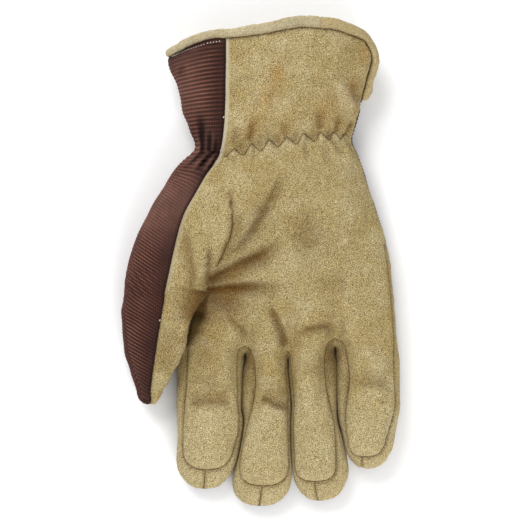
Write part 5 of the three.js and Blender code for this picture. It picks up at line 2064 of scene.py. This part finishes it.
@dataclass
class Needlework:
    """All the visible threads: in the seams, along the binding and in a zigzag over the wrist's elastic."""

    seam: Stitch = Stitch(2.4, 0.26, 0.3, depth=0.75)
    binding_front: Stitch = Stitch(1.6, 0.34, 0.5, 0.6, 0.1)
    binding_back: Stitch = Stitch(1.6, 0.2, 0.2, depth=0.5)
    hem: Stitch = Stitch(1.5, 0.2, 0.3, 0.3)
    bright: Stitch = Stitch(1.6, 0.32, 0.1, 0.06, -0.35)
    zigzag_radius: float = 0.17
    knot_radius: float = 0.2
    line_pitch: float = 0.6
    hem_line: tuple[tuple[float, float], ...] = (
        (-45.4, 103.3), (-36.8, 106.6), (-26.3, 109.8), (-18.6, 110.8),
    )
    knots: tuple[tuple[float, float], ...] = ((-18.6, 72.4), (-20.1, 55.6), (-51, -30.6))

    def seams(self, skin: Skin, material: Material) -> Piece:
        """Stitches at the bottom of every seam.

        Args:
            skin: The glove's skin.
            material: Material of the thread.

        Returns:
            The stitches' object.
        """
        parts = MeshParts()
        for line in skin.seams():
            points = skin.at[line]
            if np.linalg.norm(np.diff(points, axis=0), axis=1).sum() > 2 * self.seam.pitch:
                parts.stitches(points, skin.normals[line], self.seam)
        return finish_piece(parts.build("seam_stitches", material), "deerskin")

    def binding_row(self, skin: Skin, binding: HemBinding, material: Material) -> Piece:
        """Dark stitches where the binding meets the cuff.

        Args:
            skin: The glove's skin.
            binding: The binding.
            material: Material of the thread.

        Returns:
            The stitches' object.
        """
        points, normals = binding.path(skin)
        parts = MeshParts()
        side = int(np.argmax((points[:, 1] > 100) & (points[:, 0] < 52)))
        parts.stitches(points[:side], normals[:side], self.binding_front)
        parts.stitches(points[side:], normals[side:], self.binding_back)
        return finish_piece(parts.build("binding_stitches", material), "binding_leather")

    def wrist(self, surface: Surface, material: Material) -> Piece:
        """Zigzag stitch over the elastic, drawn into the leather.

        Args:
            surface: The dressed walls.
            material: Material of the thread.

        Returns:
            The thread's object.
        """
        points, normals = surface.line(ZIGZAG, self.line_pitch)
        parts = MeshParts()
        parts.strand(points, normals, np.full(len(points), self.zigzag_radius))
        return finish_piece(parts.build("wrist_zigzag", material), "deerskin")

    def white(self, surface: Surface, material: Material) -> Piece:
        """White stitches on the fabric under the binding, and the thread ends along the seam.

        Args:
            surface: The dressed walls.
            material: Material of the thread.

        Returns:
            The stitches' object.
        """
        parts = MeshParts()
        points, normals = surface.line(self.hem_line, self.line_pitch)
        last = len(points) * 2 // 3
        parts.stitches(points[: last + 1], normals[: last + 1], self.hem)
        parts.stitches(points[last:], normals[last:], self.bright)
        turn = np.linspace(0, 1.6 * np.pi, 12)
        bent = np.column_stack([0.2 * np.cos(turn), 0.3 * np.sin(turn), 0.2 + 0.08 * turn])
        for x, y in self.knots:
            place, normal = surface.read(x, y)
            parts.strand(place + bent, np.tile(normal, (len(turn), 1)), np.full(len(turn), self.knot_radius))
        return finish_piece(parts.build("white_stitches", material), "ribbed_fabric")


@dataclass
class Studio:
    """Pale floor, soft light and the camera straight above the glove."""

    distance: float = 2.2
    focus_height: float = 0.014
    sensor: float = 36.0
    floor_size: float = 3.0
    lamps: tuple[tuple, ...] = (
        ("key", (-0.4, 0.8, 0.7), 0.7, 10.5),
        ("fill", (0.3, -1.0, 0.6), 0.7, 10.0),
    )
    world_strength: float = 0.53

    def floor(self) -> None:
        """Pale sheet under the glove."""
        half = self.floor_size / 2 / MM
        corners = half * np.array([(-1, -1, 0), (1, -1, 0), (1, 1, 0), (-1, 1, 0)])
        sheet = mesh_object("floor", corners - FRAME_SHIFT, [[0, 1, 2, 3]], PaperSweep().build())

    def light(self, name: str, place: tuple[float, float, float], size: float, power: float) -> None:
        """Add one square soft light that faces the glove.

        Args:
            name: Name of the light.
            place: Where it stands, in metres.
            size: Length of its side in metres.
            power: Its power in watts.
        """
        data = bpy.data.lights.new(name, "AREA")
        data.size = size
        data.energy = power
        lamp = bpy.data.objects.new(name, data)
        lamp.location = place
        lamp.rotation_euler = Vector(place).to_track_quat("Z", "Y").to_euler()
        bpy.context.scene.collection.objects.link(lamp)

    def build(self) -> None:
        """Make the camera, the lights and the floor."""
        scene = bpy.context.scene
        data = bpy.data.cameras.new("camera")
        data.sensor_width = self.sensor
        data.sensor_fit = "HORIZONTAL"
        data.lens = self.sensor * (self.distance - self.focus_height) / (VIEW_WIDTH * MM)
        camera = bpy.data.objects.new("camera", data)
        camera.location = (VIEW_MIDDLE[0] * MM, VIEW_MIDDLE[1] * MM, self.distance)
        scene.collection.objects.link(camera)
        scene.camera = camera
        world = bpy.data.worlds.new("studio")
        world.use_nodes = True
        background = world.node_tree.nodes["Background"]
        background.inputs["Color"].default_value = grey(1.0)
        background.inputs["Strength"].default_value = self.world_strength
        scene.world = world
        scene.view_settings.view_transform = "Standard"
        for lamp in self.lamps:
            self.light(*lamp)
        self.floor()


def main() -> None:
    """Build the studio and then the glove, piece by piece."""
    logging.basicConfig(level=logging.INFO, format="%(name)s: %(message)s")
    Studio().build()
    leather_skin = Skin(LEATHER_DENSITY)
    fabric_skin = Skin(FABRIC_DENSITY)
    suede = SuedeDeerskin().build()
    shells = []
    strips = [LeatherPiece(node, gap_wall_shade=walls, **STRIP_FORM) for node, walls in GAP_WALL_SHADE.items()]
    for piece in [LeatherPiece(Node.PALM), *strips]:
        shell = piece.build(leather_skin)
        piece.dress(shell, suede)
        shells.append(shell)
    back = RibbedBack()
    shell = back.build(fabric_skin)
    shells.append(shell)
    back.dress(shell, RibbedCotton().build())
    binding = HemBinding()
    binding.dress(leather_skin, GrainLeather().build())
    surface = Surface(shells)
    needlework = Needlework()
    dark = SewingThread("dark_sewing_thread", "#523e18").build()
    needlework.seams(leather_skin, dark)
    needlework.binding_row(leather_skin, binding, dark)
    needlework.wrist(surface, dark)
    needlework.white(surface, SewingThread("white_sewing_thread", "#ece6d8").build())


if __name__ == "__main__":
    main()
